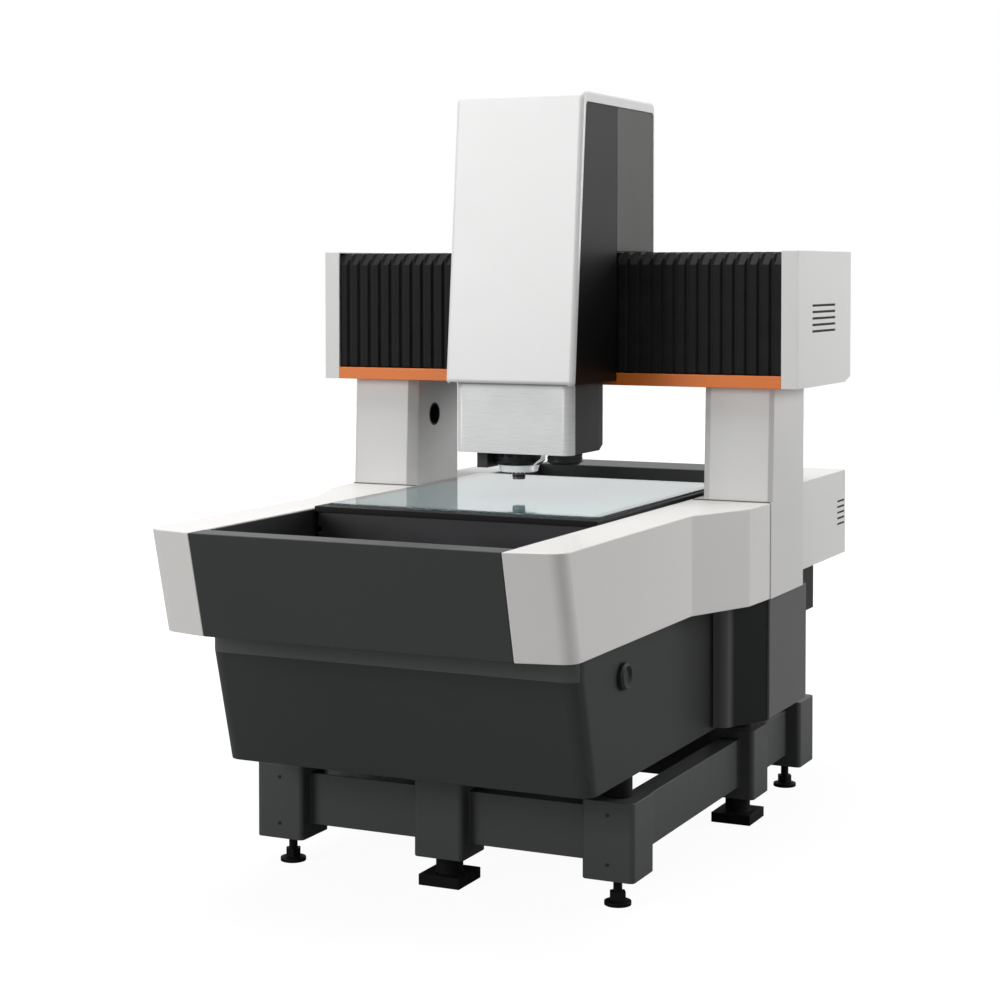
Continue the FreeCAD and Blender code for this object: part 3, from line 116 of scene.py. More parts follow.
def remap(tree, value, low, high):
    """Stretch a 0 to 1 value to the range from low to high, which may be sockets."""
    node = add_node(tree, "ShaderNodeMapRange")
    tree.links.new(value, node.inputs["Value"])
    node.inputs["From Min"].default_value = 0.3
    node.inputs["From Max"].default_value = 0.7
    for key, end in (("To Min", low), ("To Max", high)):
        if isinstance(end, (int, float)):
            node.inputs[key].default_value = end
        else:
            tree.links.new(end, node.inputs[key])
    return node.outputs["Result"]


def math_node(tree, operation, first, second=None, clamp=False):
    node = add_node(tree, "ShaderNodeMath", operation=operation, use_clamp=clamp)
    for socket, value in zip(node.inputs, (first, second)):
        if isinstance(value, (int, float)):
            socket.default_value = value
        elif value is not None:
            tree.links.new(value, socket)
    return node.outputs["Value"]


def mix_colour(tree, factor, first, second, blend="MIX"):
    node = add_node(tree, "ShaderNodeMix", data_type="RGBA", blend_type=blend)
    for key, value in (("Factor", factor), ("A", first), ("B", second)):
        socket = [item for item in node.inputs if item.name == key and item.enabled][0]
        if isinstance(value, (int, float)):
            socket.default_value = value
        elif isinstance(value, tuple):
            socket.default_value = value
        else:
            tree.links.new(value, socket)
    return [item for item in node.outputs if item.enabled][0]


# %% [markdown]
# Sprayed paint is never quite even: its tone drifts over half a metre, dust lies on what faces up,
# and its skin has a fine orange peel. One group makes all three, and each paint gives it its own
# colour, drift and grain, so that the white covers and the dark panels look like one paint shop.

# %% Sprayed paint group
paint_tree, paint_in, paint_out = new_group("sprayed_paint", [
    ("Colour", COLOUR, (0.8, 0.8, 0.8, 1)), ("Drift", FLOAT, 0.05), ("Dust", FLOAT, 0.1),
    ("Dust Colour", COLOUR, (0.8, 0.8, 0.8, 1)), ("Grain Scale", FLOAT, 700.0),
    ("Roughness", FLOAT, 0.4), ("Roughness Spread", FLOAT, 0.06),
], [("Colour", COLOUR), ("Roughness", FLOAT), ("Height", FLOAT)])


def build_paint(tree, source, target):
    where = add_node(tree, "ShaderNodeTexCoord").outputs["Object"]
    slow = noise(tree, where, 1.7, detail=2.0)
    cloud = noise(tree, where, 9.0, detail=4.0)
    fine = noise(tree, where, source.outputs["Grain Scale"], detail=2.0)
    low = math_node(tree, "SUBTRACT", 1.0, source.outputs["Drift"])
    shade = remap(tree, slow, low, 1.0)
    grey = add_node(tree, "ShaderNodeCombineColor")
    for key in ("Red", "Green", "Blue"):
        tree.links.new(shade, grey.inputs[key])
    tinted = mix_colour(tree, 1.0, source.outputs["Colour"], grey.outputs["Color"], "MULTIPLY")
    facing = add_node(tree, "ShaderNodeSeparateXYZ")
    tree.links.new(add_node(tree, "ShaderNodeNewGeometry").outputs["Normal"], facing.inputs["Vector"])
    up = math_node(tree, "MULTIPLY", facing.outputs["Z"], remap(tree, cloud, 0.2, 1.0), clamp=True)
    dust = math_node(tree, "MULTIPLY", up, source.outputs["Dust"], clamp=True)
    colour = mix_colour(tree, dust, tinted, source.outputs["Dust Colour"])
    spread = math_node(tree, "MULTIPLY", math_node(tree, "SUBTRACT", cloud, 0.5),
                       source.outputs["Roughness Spread"])
    dusty = math_node(tree, "MULTIPLY", dust, 0.5)
    rough = math_node(tree, "ADD", math_node(tree, "ADD", source.outputs["Roughness"], spread), dusty,
                      clamp=True)
    tree.links.new(colour, target.inputs["Colour"])
    tree.links.new(rough, target.inputs["Roughness"])
    tree.links.new(fine, target.inputs["Height"])


build_paint(paint_tree, paint_in, paint_out)


def paint(name, colour, roughness, drift, dust, dust_colour, grain_scale, grain_depth, coat=0.0, shine=0.5):
    """A painted finish from the shared group, with its orange peel as a fine bump."""
    material, tree, shader = new_finish(name, roughness, coat=coat, shine=shine)
    group = add_node(tree, "ShaderNodeGroup", node_tree=paint_tree)
    group.inputs["Colour"].default_value = (*colour, 1)
    group.inputs["Drift"].default_value = drift
    group.inputs["Dust"].default_value = dust
    group.inputs["Dust Colour"].default_value = (*dust_colour, 1)
    group.inputs["Grain Scale"].default_value = grain_scale
    group.inputs["Roughness"].default_value = roughness
    bump = add_node(tree, "ShaderNodeBump")
    bump.inputs["Strength"].default_value = 0.35
    bump.inputs["Distance"].default_value = grain_depth
    tree.links.new(group.outputs["Colour"], shader.inputs["Base Color"])
    tree.links.new(group.outputs["Roughness"], shader.inputs["Roughness"])
    tree.links.new(group.outputs["Height"], bump.inputs["Height"])
    tree.links.new(bump.outputs["Normal"], shader.inputs["Normal"])
    return material


PALE_DUST = (0.50, 0.50, 0.49)
WHITE_DUST = (0.80, 0.80, 0.79)
white_paint = paint("white_paint", (0.745, 0.74, 0.73), 0.42, 0.03, 0.04, WHITE_DUST, 900, 0.00010, coat=0.1)
arm_paint = paint("arm_paint", (0.775, 0.762, 0.742), 0.42, 0.03, 0.04, WHITE_DUST, 900, 0.00010, coat=0.1)
column_paint = paint("column_paint", (0.71, 0.705, 0.695), 0.45, 0.04, 0.04, WHITE_DUST, 900, 0.00012,
                     shine=0.4)
head_paint = paint("head_paint", (0.79, 0.79, 0.785), 0.38, 0.02, 0.03, WHITE_DUST, 1100, 0.00008, coat=0.2)
charcoal_paint = paint("charcoal_paint", (0.039, 0.041, 0.041), 0.5, 0.10, 0.05, PALE_DUST, 1100, 0.0002,
                       shine=0.3)
case_paint = paint("case_paint", (0.036, 0.036, 0.036), 0.45, 0.10, 0.04, PALE_DUST, 1300, 0.0001, shine=0.3)
rear_side_paint = paint("rear_side_paint", (0.082, 0.082, 0.079), 0.5, 0.06, 0.02, PALE_DUST, 1300, 0.0001,
                        shine=0.25)
stand_paint = paint("stand_paint", (0.056, 0.059, 0.058), 0.46, 0.10, 0.01, PALE_DUST, 700, 0.0002, shine=0.3)
orange_paint = paint("orange_paint", (0.80, 0.19, 0.018), 0.45, 0.06, 0.03, (0.80, 0.30, 0.08), 900, 0.00012,
                     coat=0.15)
black_plastic = paint("black_plastic", (0.012, 0.012, 0.013), 0.5, 0.12, 0.04, PALE_DUST, 1500, 0.0001,
                      shine=0.3)
seal_rubber = paint("seal_rubber", (0.010, 0.010, 0.010), 0.7, 0.20, 0.02, PALE_DUST, 500, 0.0002, shine=0.2)
foot_black = paint("foot_black", (0.003, 0.003, 0.003), 0.6, 0.20, 0.01, PALE_DUST, 900, 0.0002, shine=0.12)
frame_black = paint("frame_black", (0.005, 0.005, 0.006), 0.5, 0.20, 0.01, PALE_DUST, 1500, 0.0001,
                    shine=0.15)
joint_rubber = paint("joint_rubber", (0.10, 0.10, 0.10), 0.7, 0.10, 0.02, PALE_DUST, 500, 0.0002, shine=0.2)
ring_plastic = paint("ring_plastic", (0.92, 0.93, 0.93), 0.35, 0.02, 0.0, WHITE_DUST, 1500, 0.00002)
lamp_lens = paint("lamp_lens", (0.75, 0.78, 0.80), 0.2, 0.02, 0.0, WHITE_DUST, 1500, 0.00002)
beam_paint = paint("beam_paint", (0.20, 0.205, 0.21), 0.5, 0.08, 0.06, PALE_DUST, 700, 0.0003)
# painted glow: the ring light's housing and its bracket glow a little, standing in for light they lack in the
# shade under the head
RING_PAINTED_GLOW = 0.22
ring_shader = ring_plastic.node_tree.nodes["Principled BSDF"]
ring_shader.inputs["Emission Color"].default_value = (1, 1, 1, 1)
ring_shader.inputs["Emission Strength"].default_value = RING_PAINTED_GLOW
print("paints:", len(finishes))

# %% [markdown]
# Ground steel and milled alloy show fine parallel scratches, while turned parts show rings. Stretching
# a noise along one direction gives scratches, and the Mapping node decides which way they run.

# %% Ground metal
scratch_tree, scratch_in, scratch_out = new_group("ground_scratches", [
    ("Colour", COLOUR, (0.6, 0.6, 0.6, 1)), ("Along", NORMAL, (1.0, 40.0, 40.0)), ("Roughness", FLOAT, 0.3),
], [("Colour", COLOUR), ("Roughness", FLOAT), ("Height", FLOAT)])


def build_scratches(tree, source, target):
    where = add_node(tree, "ShaderNodeTexCoord").outputs["Object"]
    stretched = add_node(tree, "ShaderNodeVectorMath", operation="MULTIPLY")
    tree.links.new(where, stretched.inputs[0])
    tree.links.new(source.outputs["Along"], stretched.inputs[1])
    lines = noise(tree, stretched.outputs["Vector"], 22.0, detail=6.0, roughness=0.7)
    stains = noise(tree, where, 14.0, detail=3.0)
    shade = remap(tree, lines, 0.78, 1.0)
    grey = add_node(tree, "ShaderNodeCombineColor")
    for key in ("Red", "Green", "Blue"):
        tree.links.new(shade, grey.inputs[key])
    colour = mix_colour(tree, 1.0, source.outputs["Colour"], grey.outputs["Color"], "MULTIPLY")
    uneven = math_node(tree, "ADD", remap(tree, lines, -0.06, 0.10), remap(tree, stains, -0.04, 0.05))
    rough = math_node(tree, "ADD", source.outputs["Roughness"], uneven, clamp=True)
    tree.links.new(colour, target.inputs["Colour"])
    tree.links.new(rough, target.inputs["Roughness"])
    tree.links.new(lines, target.inputs["Height"])


build_scratches(scratch_tree, scratch_in, scratch_out)


def ground_metal(name, colour, roughness, along, metallic=1.0, depth=0.00004):
    material, tree, shader = new_finish(name, roughness, metallic)
    group = add_node(tree, "ShaderNodeGroup", node_tree=scratch_tree)
    group.inputs["Colour"].default_value = (*colour, 1)
    group.inputs["Along"].default_value = along
    group.inputs["Roughness"].default_value = roughness
    bump = add_node(tree, "ShaderNodeBump")
    bump.inputs["Strength"].default_value = 0.4
    bump.inputs["Distance"].default_value = depth
    tree.links.new(group.outputs["Colour"], shader.inputs["Base Color"])
    tree.links.new(group.outputs["Roughness"], shader.inputs["Roughness"])
    tree.links.new(group.outputs["Height"], bump.inputs["Height"])
    tree.links.new(bump.outputs["Normal"], shader.inputs["Normal"])
    return material


# %% [markdown]
# Three paints carry painted light and shade over their solid: painted highlights on the pedestal's door and
# front edge, a painted highlight band and a painted shadow on the tub, and a painted reflection that darkens a
# panel downwards. They share the paint group, and a place in metres decides which colour a point gets.

# %% Paints with painted light and shade
def placed_paint(name, roughness, shine, drift, grain_scale, peel):
    """A paint without a colour yet, and its X, Y and Z sockets in metres."""
    material, tree, shader = new_finish(name, roughness, shine=shine)
    group = add_node(tree, "ShaderNodeGroup", node_tree=paint_tree)
    for key, value in (("Drift", drift), ("Dust", 0.03), ("Grain Scale", grain_scale), ("Roughness", peel)):
        group.inputs[key].default_value = value
    place = add_node(tree, "ShaderNodeSeparateXYZ")
    tree.links.new(add_node(tree, "ShaderNodeTexCoord").outputs["Object"], place.inputs["Vector"])
    tree.links.new(group.outputs["Colour"], shader.inputs["Base Color"])
    tree.links.new(group.outputs["Roughness"], shader.inputs["Roughness"])
    return material, tree, place.outputs, group.inputs["Colour"]


def soft_step(tree, value, start, stop, low=0.0, high=1.0):
    """A smooth change from low to high while the value goes from start to stop."""
    node = add_node(tree, "ShaderNodeMapRange", interpolation_type="SMOOTHSTEP")
    tree.links.new(value, node.inputs["Value"])
    for key, end in (("From Min", start), ("From Max", stop), ("To Min", low), ("To Max", high)):
        node.inputs[key].default_value = end
    return node.outputs["Result"]


def beyond(tree, value, limit):
    return math_node(tree, "GREATER_THAN", math_node(tree, "ABSOLUTE", value), limit)


# Where the pedestal's painted highlights lie: on its side door and along its rounded front edge.
LIT_DOOR_SKIN, EDGE_HIGHLIGHT_START, EDGE_HIGHLIGHT_FULL = 0.005, 0.030, 0.008
# Where the tub's painted highlight band and the painted shadow on its sides lie.
TUB_LIT_BAND, TUB_CORNER, TUB_SKIN = 0.060, 0.02, 0.004
TUB_SHADE = {"start": -0.30, "stop": 0.0, "low": 0.25, "high": 0.80}


def pedestal_finish():
    """Pedestal paint with painted light: the door and the front edge carry a painted highlight, and the
    slanting faces are painted darker as shade.
    """
    material, tree, place, target = placed_paint("pedestal_paint", 0.6, 0.10, 0.08, 900.0, 0.5)
    low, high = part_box("pedestal_right")
    # painted highlight on the side door; the darker rest is painted shade on the slanting faces
    lit_door = beyond(tree, place["X"], high.x - LIT_DOOR_SKIN)
    colour = mix_colour(tree, lit_door, (0.009, 0.010, 0.010, 1), (0.128, 0.130, 0.127, 1))
    # painted highlight along the rounded front edge
    edge = soft_step(tree, place["Y"], low.y + EDGE_HIGHLIGHT_START, low.y + EDGE_HIGHLIGHT_FULL)
    tree.links.new(mix_colour(tree, edge, colour, (0.12, 0.12, 0.12, 1)), target)
    return material


def tub_finish():
    """The tub's paint with painted light: its upright band carries a painted highlight, and its sides carry a
    painted shadow towards the pedestals.
    """
    material, tree, place, target = placed_paint("tub_paint", 0.6, 0.14, 0.12, 900.0, 0.5)
    low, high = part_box("lower_body")
    # painted highlight: the upright front band is painted paler
    band = math_node(tree, "GREATER_THAN", place["Z"], high.z - TUB_LIT_BAND)
    ahead = math_node(tree, "LESS_THAN", place["Y"], low.y + TUB_CORNER)
    band = math_node(tree, "MULTIPLY", band, ahead)
    # painted shadow: the sides darken towards the pedestals
    side = beyond(tree, place["X"], high.x - TUB_SKIN)
    shade = math_node(tree, "MULTIPLY", side, soft_step(tree, place["Y"], **TUB_SHADE))
    colour = mix_colour(tree, band, (0.043, 0.046, 0.045, 1), (0.094, 0.097, 0.096, 1))
    tree.links.new(mix_colour(tree, shade, colour, (0.004, 0.004, 0.004, 1)), target)
    return material


def panel_shade_finish():
    """The head's front side panels: one dark paint with a painted reflection, paler towards the top and darker
    towards the bottom of the panel.
    """
    material, tree, place, target = placed_paint("head_side_paint", 0.5, 0.10, 0.06, 1300.0, 0.42)
    low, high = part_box("head_side_right")
    # painted reflection that fades darker down the panel
    height = soft_step(tree, place["Z"], low.z, high.z)
    tree.links.new(mix_colour(tree, height, (0.005, 0.005, 0.005, 1), (0.030, 0.030, 0.031, 1)), target)
    return material


head_side_paint = panel_shade_finish()
tub_paint = tub_finish()
pedestal_paint = pedestal_finish()
print("paints with those that change:", len(finishes))

# %% [markdown]
# The metals come next. Each names its colour, its roughness and the way its scratches run.

# %% Metals
rail_steel = ground_metal("rail_steel", (0.60, 0.61, 0.63), 0.24, (40.0, 1.0, 40.0))
cross_steel = ground_metal("cross_steel", (0.60, 0.61, 0.63), 0.24, (1.0, 40.0, 40.0))
upright_steel = ground_metal("upright_steel", (0.60, 0.61, 0.63), 0.24, (40.0, 40.0, 1.0))
milled_alloy = ground_metal("milled_alloy", (0.70, 0.71, 0.73), 0.36, (6.0, 40.0, 6.0))
dark_alloy = ground_metal("dark_alloy", (0.050, 0.050, 0.052), 0.42, (6.0, 40.0, 6.0), metallic=0.3)
brushed_silver = ground_metal("brushed_silver", (0.86, 0.86, 0.86), 0.44, (1.0, 1.0, 30.0), metallic=0.12)
black_alloy = ground_metal("black_alloy", (0.030, 0.030, 0.033), 0.40, (40.0, 1.0, 40.0), metallic=0.4)
blackened_steel = ground_metal("blackened_steel", (0.012, 0.012, 0.013), 0.45, (30.0, 30.0, 1.0), metallic=0.4)
lens_steel = ground_metal("lens_steel", (0.10, 0.10, 0.11), 0.28, (1.0, 1.0, 50.0), metallic=0.8)

# %% [markdown]
# The base is granite: dark crystals, paler feldspar and a few sparkling grains of mica. A Voronoi pattern
# gives crystals their flat-sided cells, and a noise at another size keeps them from looking like tiles.

# %% Granite
def granite_finish():
    material, tree, shader = new_finish("granite", 0.25, coat=0.1)
    where = add_node(tree, "ShaderNodeTexCoord").outputs["Object"]
    cells = add_node(tree, "ShaderNodeTexVoronoi", feature="F1")
    cells.inputs["Scale"].default_value = 420.0
    tree.links.new(where, cells.inputs["Vector"])
    grain = add_node(tree, "ShaderNodeSeparateColor")
    tree.links.new(cells.outputs["Color"], grain.inputs["Color"])
    ramp = add_node(tree, "ShaderNodeValToRGB")
    ramp.color_ramp.elements[0].color = (0.018, 0.018, 0.020, 1)
    ramp.color_ramp.elements[1].color = (0.42, 0.42, 0.43, 1)
    ramp.color_ramp.elements[1].position = 0.98
    middle = ramp.color_ramp.elements.new(0.72)
    middle.color = (0.06, 0.06, 0.065, 1)
    tree.links.new(grain.outputs["Red"], ramp.inputs["Fac"])
    cloud = remap(tree, noise(tree, where, 30.0), 0.0, 0.5)
    colour = mix_colour(tree, cloud, ramp.outputs["Color"], (0.035, 0.036, 0.040, 1))
    tree.links.new(colour, shader.inputs["Base Color"])
    tree.links.new(remap(tree, grain.outputs["Green"], 0.2, 0.4), shader.inputs["Roughness"])
    return material


granite = granite_finish()

# %% [markdown]
# The stage is a sheet of float glass, faintly green, over an opal panel that spreads the light from
# below. Seen at a low angle it mirrors the columns, so it is real glass with a plain Transmission
# Weight and index, and its colour drifts only a little.

# %% Glass and diffuser
def stage_glass_finish():
    material, tree, shader = new_finish("float_glass", 0.02)
    shader.inputs["Transmission Weight"].default_value = 0.9
    shader.inputs["IOR"].default_value = 1.45
    where = add_node(tree, "ShaderNodeTexCoord").outputs["Object"]
    cloud = remap(tree, noise(tree, where, 3.0, detail=2.0), 0.0, 0.35)
    colour = mix_colour(tree, cloud, (0.66, 0.86, 0.88, 1), (0.72, 0.89, 0.90, 1))
    tree.links.new(colour, shader.inputs["Base Color"])
    smear = remap(tree, noise(tree, where, 26.0, detail=5.0), 0.01, 0.06)
    tree.links.new(smear, shader.inputs["Roughness"])
    return material


def opal_finish():
    material, tree, shader = new_finish("opal_panel", 0.7, shine=0.05)
    where = add_node(tree, "ShaderNodeTexCoord").outputs["Object"]
    colour = mix_colour(tree, remap(tree, noise(tree, where, 60.0), 0.0, 1.0),
                        (0.065, 0.10, 0.11, 1), (0.085, 0.125, 0.135, 1))
    tree.links.new(colour, shader.inputs["Base Color"])
    tree.links.new(remap(tree, noise(tree, where, 500.0), 0.45, 0.65), shader.inputs["Roughness"])
    return material


stage_glass = stage_glass_finish()
opal_panel = opal_finish()

# %% [markdown]
# The bridge's covers are coated cloth over stiff plates, folded like a bellows. Coated cloth has a fine plain
# weave under its skin, and its dark tone drifts a little in soft clouds.

# %% Coated cloth
def coated_cloth_finish():
    material, tree, shader = new_finish("coated_cloth", 0.65, shine=0.07)
    shader.inputs["Sheen Weight"].default_value = 0.05
    shader.inputs["Sheen Roughness"].default_value = 0.4
    where = add_node(tree, "ShaderNodeTexCoord").outputs["Object"]
    weave = []
    for axis in ("X", "Z"):
        wave = add_node(tree, "ShaderNodeTexWave", wave_type="BANDS", bands_direction=axis)
        wave.inputs["Scale"].default_value = 260.0
        wave.inputs["Distortion"].default_value = 0.4
        tree.links.new(where, wave.inputs["Vector"])
        weave.append(wave.outputs["Fac"])
    cloth = math_node(tree, "MULTIPLY", weave[0], weave[1])
    cloud = noise(tree, where, 18.0, detail=5.0)
    colour = mix_colour(tree, remap(tree, cloud, 0.0, 1.0), (0.010, 0.010, 0.011, 1), (0.016, 0.016, 0.017, 1))
    tree.links.new(colour, shader.inputs["Base Color"])
    tree.links.new(remap(tree, cloud, 0.42, 0.6), shader.inputs["Roughness"])
    bump = add_node(tree, "ShaderNodeBump")
    bump.inputs["Strength"].default_value = 0.3
    bump.inputs["Distance"].default_value = 0.0002
    tree.links.new(cloth, bump.inputs["Height"])
    tree.links.new(bump.outputs["Normal"], shader.inputs["Normal"])
    return material


coated_cloth = coated_cloth_finish()
print("finishes:", len(finishes))

# %% [markdown]
# The engineering solids have knife edges, and no real cover has. A few modifiers soften them without
# touching their vertices: Weld joins the loose triangles, a planar Decimate clears the flat faces,
# Bevel rounds every edge that is sharper than its angle, and Weighted Normal keeps big faces flat.

# %% Soften and paint the solids
BEVEL_ANGLE = math.radians(26)
FLAT_ANGLE = math.radians(0.6)
WELD_GAP = 0.00001


def soften(solid, width, segments=3):
    """Round a solid's edges; a width of nothing leaves it as it is."""
    if width <= 0:
        return
    solid.modifiers.new("join", "WELD").merge_threshold = WELD_GAP
    clear = solid.modifiers.new("clear", "DECIMATE")
    clear.decimate_type = "DISSOLVE"
    clear.angle_limit = FLAT_ANGLE
    bevel = solid.modifiers.new("round", "BEVEL")
    bevel.width = width
    bevel.segments = segments
    bevel.limit_method = "ANGLE"
    bevel.angle_limit = BEVEL_ANGLE
    bevel.use_clamp_overlap = True
    normals = solid.modifiers.new("shade", "WEIGHTED_NORMAL")
    normals.keep_sharp = False
    normals.weight = 50


SOLIDS = [
    (arm_paint, 0.0025, ["arm_front_left", "arm_front_right"]),
    (column_paint, 0.004, ["column_left", "column_right"]),
    (white_paint, 0.0009, ["arm_rear_left", "arm_rear_right", "end_cap_left", "end_cap_right"]),
    (head_paint, 0.0012, ["head_cover"]),
    (brushed_silver, 0.0012, ["optics_front"]),
    (charcoal_paint, 0.0025, ["front_panel", "rear_panel"]),
    (pedestal_paint, 0.0025, ["pedestal_left", "pedestal_right"]),
    (tub_paint, 0.0, ["lower_body"]),
    (head_side_paint, 0.0015, ["head_side_left", "head_side_right"]),
    (rear_side_paint, 0.0015, ["head_rear_left", "head_rear_right"]),
    (case_paint, 0.0015, ["optics_case"]),
    (frame_black, 0.0012, ["stage_frame"]),
    (stand_paint, 0.002, ["stand_front", "stand_rear", "stand_side_left", "stand_side_right", "stand_cross"]),
    (foot_black, 0.0015, ["support_blocks", "body_mounts", "foot_front_left", "foot_front_right",
                          "foot_rear_left", "foot_rear_right"]),
    (black_plastic, 0.001, ["well_wall_left", "well_wall_right", "body_plugs"]),
    (case_paint, 0.001, ["optics_turret", "distance_sensor"]),
    (orange_paint, 0.0012, ["trim_strip"]),
    (beam_paint, 0.002, ["bridge_beam"]),
    (granite, 0.003, ["granite_base"]),
    (rail_steel, 0.0006, ["y_rails", "y_runners", "y_screw"]),
    (cross_steel, 0.0006, ["x_rails"]),
    (upright_steel, 0.0006, ["z_rails", "z_screw"]),
    (milled_alloy, 0.001, ["carriage_plate", "y_nut"]),
    (dark_alloy, 0.001, ["lifting_plate", "head_saddle"]),
    (black_alloy, 0.0012, ["stage_body", "y_drive", "z_motor"]),
    (stage_glass, 0.0012, ["stage_glass"]),
    (opal_panel, 0.0, ["light_panel"]),
    (lens_steel, 0.0005, ["objective"]),
    (ring_plastic, 0.0006, ["ring_light"]),
    (coated_cloth, 0.0, ["bellows_left", "bellows_right"]),
]


def dress_solids():
    dressed = 0
    for finish, width, names in SOLIDS:
        for name in names:
            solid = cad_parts[name]
            solid.data.materials.clear()
            solid.data.materials.append(finish)
            soften(solid, width)
            dressed += 1
    print("solids dressed:", dressed, "of", len(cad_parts))


dress_solids()

# %% [markdown]
# A piece that the engineering model has no solid for starts as a bmesh. This helper turns one into an object,
# gives it its finish and lets it ride on its body.

# %% Piece helper
def add_piece(name, mesh_data, finish, body, smooth=30.0):
    """Turn a bmesh into a piece; without a body the caller places it; smooth is an angle in degrees."""
    bmesh.ops.recalc_face_normals(mesh_data, faces=mesh_data.faces)
    mesh = bpy.data.meshes.new(name)
    for face in mesh_data.faces:
        face.smooth = True
    limit = math.radians(smooth)
    for edge in mesh_data.edges:
        edge.smooth = len(edge.link_faces) == 2 and edge.calc_face_angle(0.0) < limit
    mesh_data.to_mesh(mesh)
    mesh_data.free()
    piece = bpy.data.objects.new(name, mesh)
    bpy.context.scene.collection.objects.link(piece)
    piece.data.materials.append(finish)
    if body:
        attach(piece, body)
    return piece


# %% [markdown]
# Screws, seals and slots are small, but they tell the eye how big the machine is. Three bmesh moves
# make them all: a block between two corners, a turned profile that is spun about an axis, and a sheet
# that is bent along a line.

# %% Small shapes
def add_block(work, low, high):
    """A box between two corners."""
    span = Vector(high) - Vector(low)
    middle = (Vector(low) + Vector(high)) / 2
    place = Matrix.Translation(middle) @ Matrix.Diagonal((*(abs(size) for size in span), 1.0))
    bmesh.ops.create_cube(work, size=1.0, matrix=place)


def seat(point, axis):
    """A matrix that puts a profile's foot at a point and its height along an axis."""
    return Matrix.Translation(Vector(point)) @ Vector(axis).to_track_quat("Z", "Y").to_matrix().to_4x4()


def add_turned(work, profile, place, steps=32):
    """Spin (radius, height) points about their Z axis, then seat the result."""
    before = set(work.verts)
    verts = [work.verts.new((radius, 0.0, height)) for radius, height in profile]
    edges = [work.edges.new(pair) for pair in zip(verts, verts[1:])]
    bmesh.ops.spin(work, geom=verts + edges, cent=(0, 0, 0), axis=(0, 0, 1), angle=2 * math.pi,
                   steps=steps, use_merge=True)
    fresh = [vert for vert in work.verts if vert not in before]
    bmesh.ops.remove_doubles(work, verts=fresh, dist=WELD_GAP)
    fresh = [vert for vert in work.verts if vert not in before]
    bmesh.ops.transform(work, matrix=place, verts=fresh)


def add_bent_sheet(work, line, thick, width):
    """A sheet bent along a line of (x, z) points, with its width along Y, between two y values."""
    near, far = width
    left = []
    for index, point in enumerate(line):
        start = Vector(line[max(index - 1, 0)])
        stop = Vector(line[min(index + 1, len(line) - 1)])
        along = (stop - start).normalized()
        left.append(Vector(point) + Vector((-along.y, along.x)) * thick)
    outline = [Vector(point) for point in line] + left[::-1]
    verts = [work.verts.new((point.x, near, point.y)) for point in outline]
    count = len(line)
    faces = [work.faces.new([verts[step], verts[step + 1], verts[2 * count - 2 - step],
                             verts[2 * count - 1 - step]]) for step in range(count - 1)]
    grown = bmesh.ops.extrude_face_region(work, geom=faces)["geom"]
    moved = [item for item in grown if isinstance(item, bmesh.types.BMVert)]
    bmesh.ops.translate(work, verts=moved, vec=(0, far - near, 0))


# %% [markdown]
# The end caps and the rear arms have five vent slots each. On the real machine one looks through them into the
# dark, and here a black block lies in each slot, a little behind the paint, as painted shade for that dark.

# %% Vent shade blocks
VENT_COUNT, VENT_STEP, VENT_TALL, VENT_DEEP = 5, 0.0156, 0.0055, 0.004
# how far the painted-shade blocks lie behind the paint
SHADE_BLOCK_SUNK = 0.0012
CAP_VENT = (0.174, 0.192, 1.235)
ARM_VENT = (0.915, 0.068, 0.682)


def make_vent_shade_blocks():
    work = bmesh.new()
    play = 0.0002
    for carrier, (start, long, foot) in (("end_cap", CAP_VENT), ("arm_rear", ARM_VENT)):
        for side, sign in (("_left", -1), ("_right", 1)):
            low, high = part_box(carrier + side)
            outer = max(abs(low.x), abs(high.x))
            for count in range(VENT_COUNT):
                z = foot + count * VENT_STEP
                xs = sorted((sign * (outer - VENT_DEEP + play), sign * (outer - SHADE_BLOCK_SUNK)))
                # a black block in each slot, as painted shade for the dark behind the vent
                add_block(work, (xs[0], start + play, z + play),
                          (xs[1], start + long - play, z + VENT_TALL - play))
    shade_blocks = add_piece("vent_filters", work, seal_rubber, "machine")
    print(shade_blocks.name, "blocks:", 4 * VENT_COUNT)


make_vent_shade_blocks()

# %% [markdown]
# Where the deck covers meet the columns there is a joint of two millimetres with a grey rubber seal in
# it. The seal stands a little proud of the front covers' tops and lies behind the paint elsewhere.

# %% Cover seals
SEAL_SUNK, SEAL_PLAY, SEAL_PROUD = 0.0012, 0.0002, 0.0020


def make_cover_seals():
    work = bmesh.new()
    for side, sign in (("_left", -1), ("_right", 1)):
        column_low, column_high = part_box("column" + side)
        for arm in ("arm_front", "arm_rear"):
            low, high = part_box(arm + side)
            edge = min(max(abs(low.x), abs(high.x)), max(abs(column_low.x), abs(column_high.x)) - 0.002)
            inner = min(abs(low.x), abs(high.x)) + 0.004
            xs = sorted((sign * inner, sign * (edge - SEAL_SUNK)))
            ys = sorted((high.y, column_low.y)) if arm == "arm_front" else sorted((column_high.y, low.y))
            top = high.z + SEAL_PROUD if arm == "arm_front" else high.z - SEAL_SUNK
            add_block(work, (xs[0], ys[0] + SEAL_PLAY, low.z + 0.002), (xs[1], ys[1] - SEAL_PLAY, top))
            print(arm + side, "seal from", round(ys[0], 4), "to", round(ys[1], 4))
    add_piece("cover_seals", work, joint_rubber, "machine")


make_cover_seals()

# %% [markdown]
# The head travels over the folded covers on a gap of two millimetres. A felt strip under each rear side
# panel wipes the covers and closes that gap.

# %% Wiper strips
WIPER_FREE, WIPER_WIDE = 0.0003, 0.005


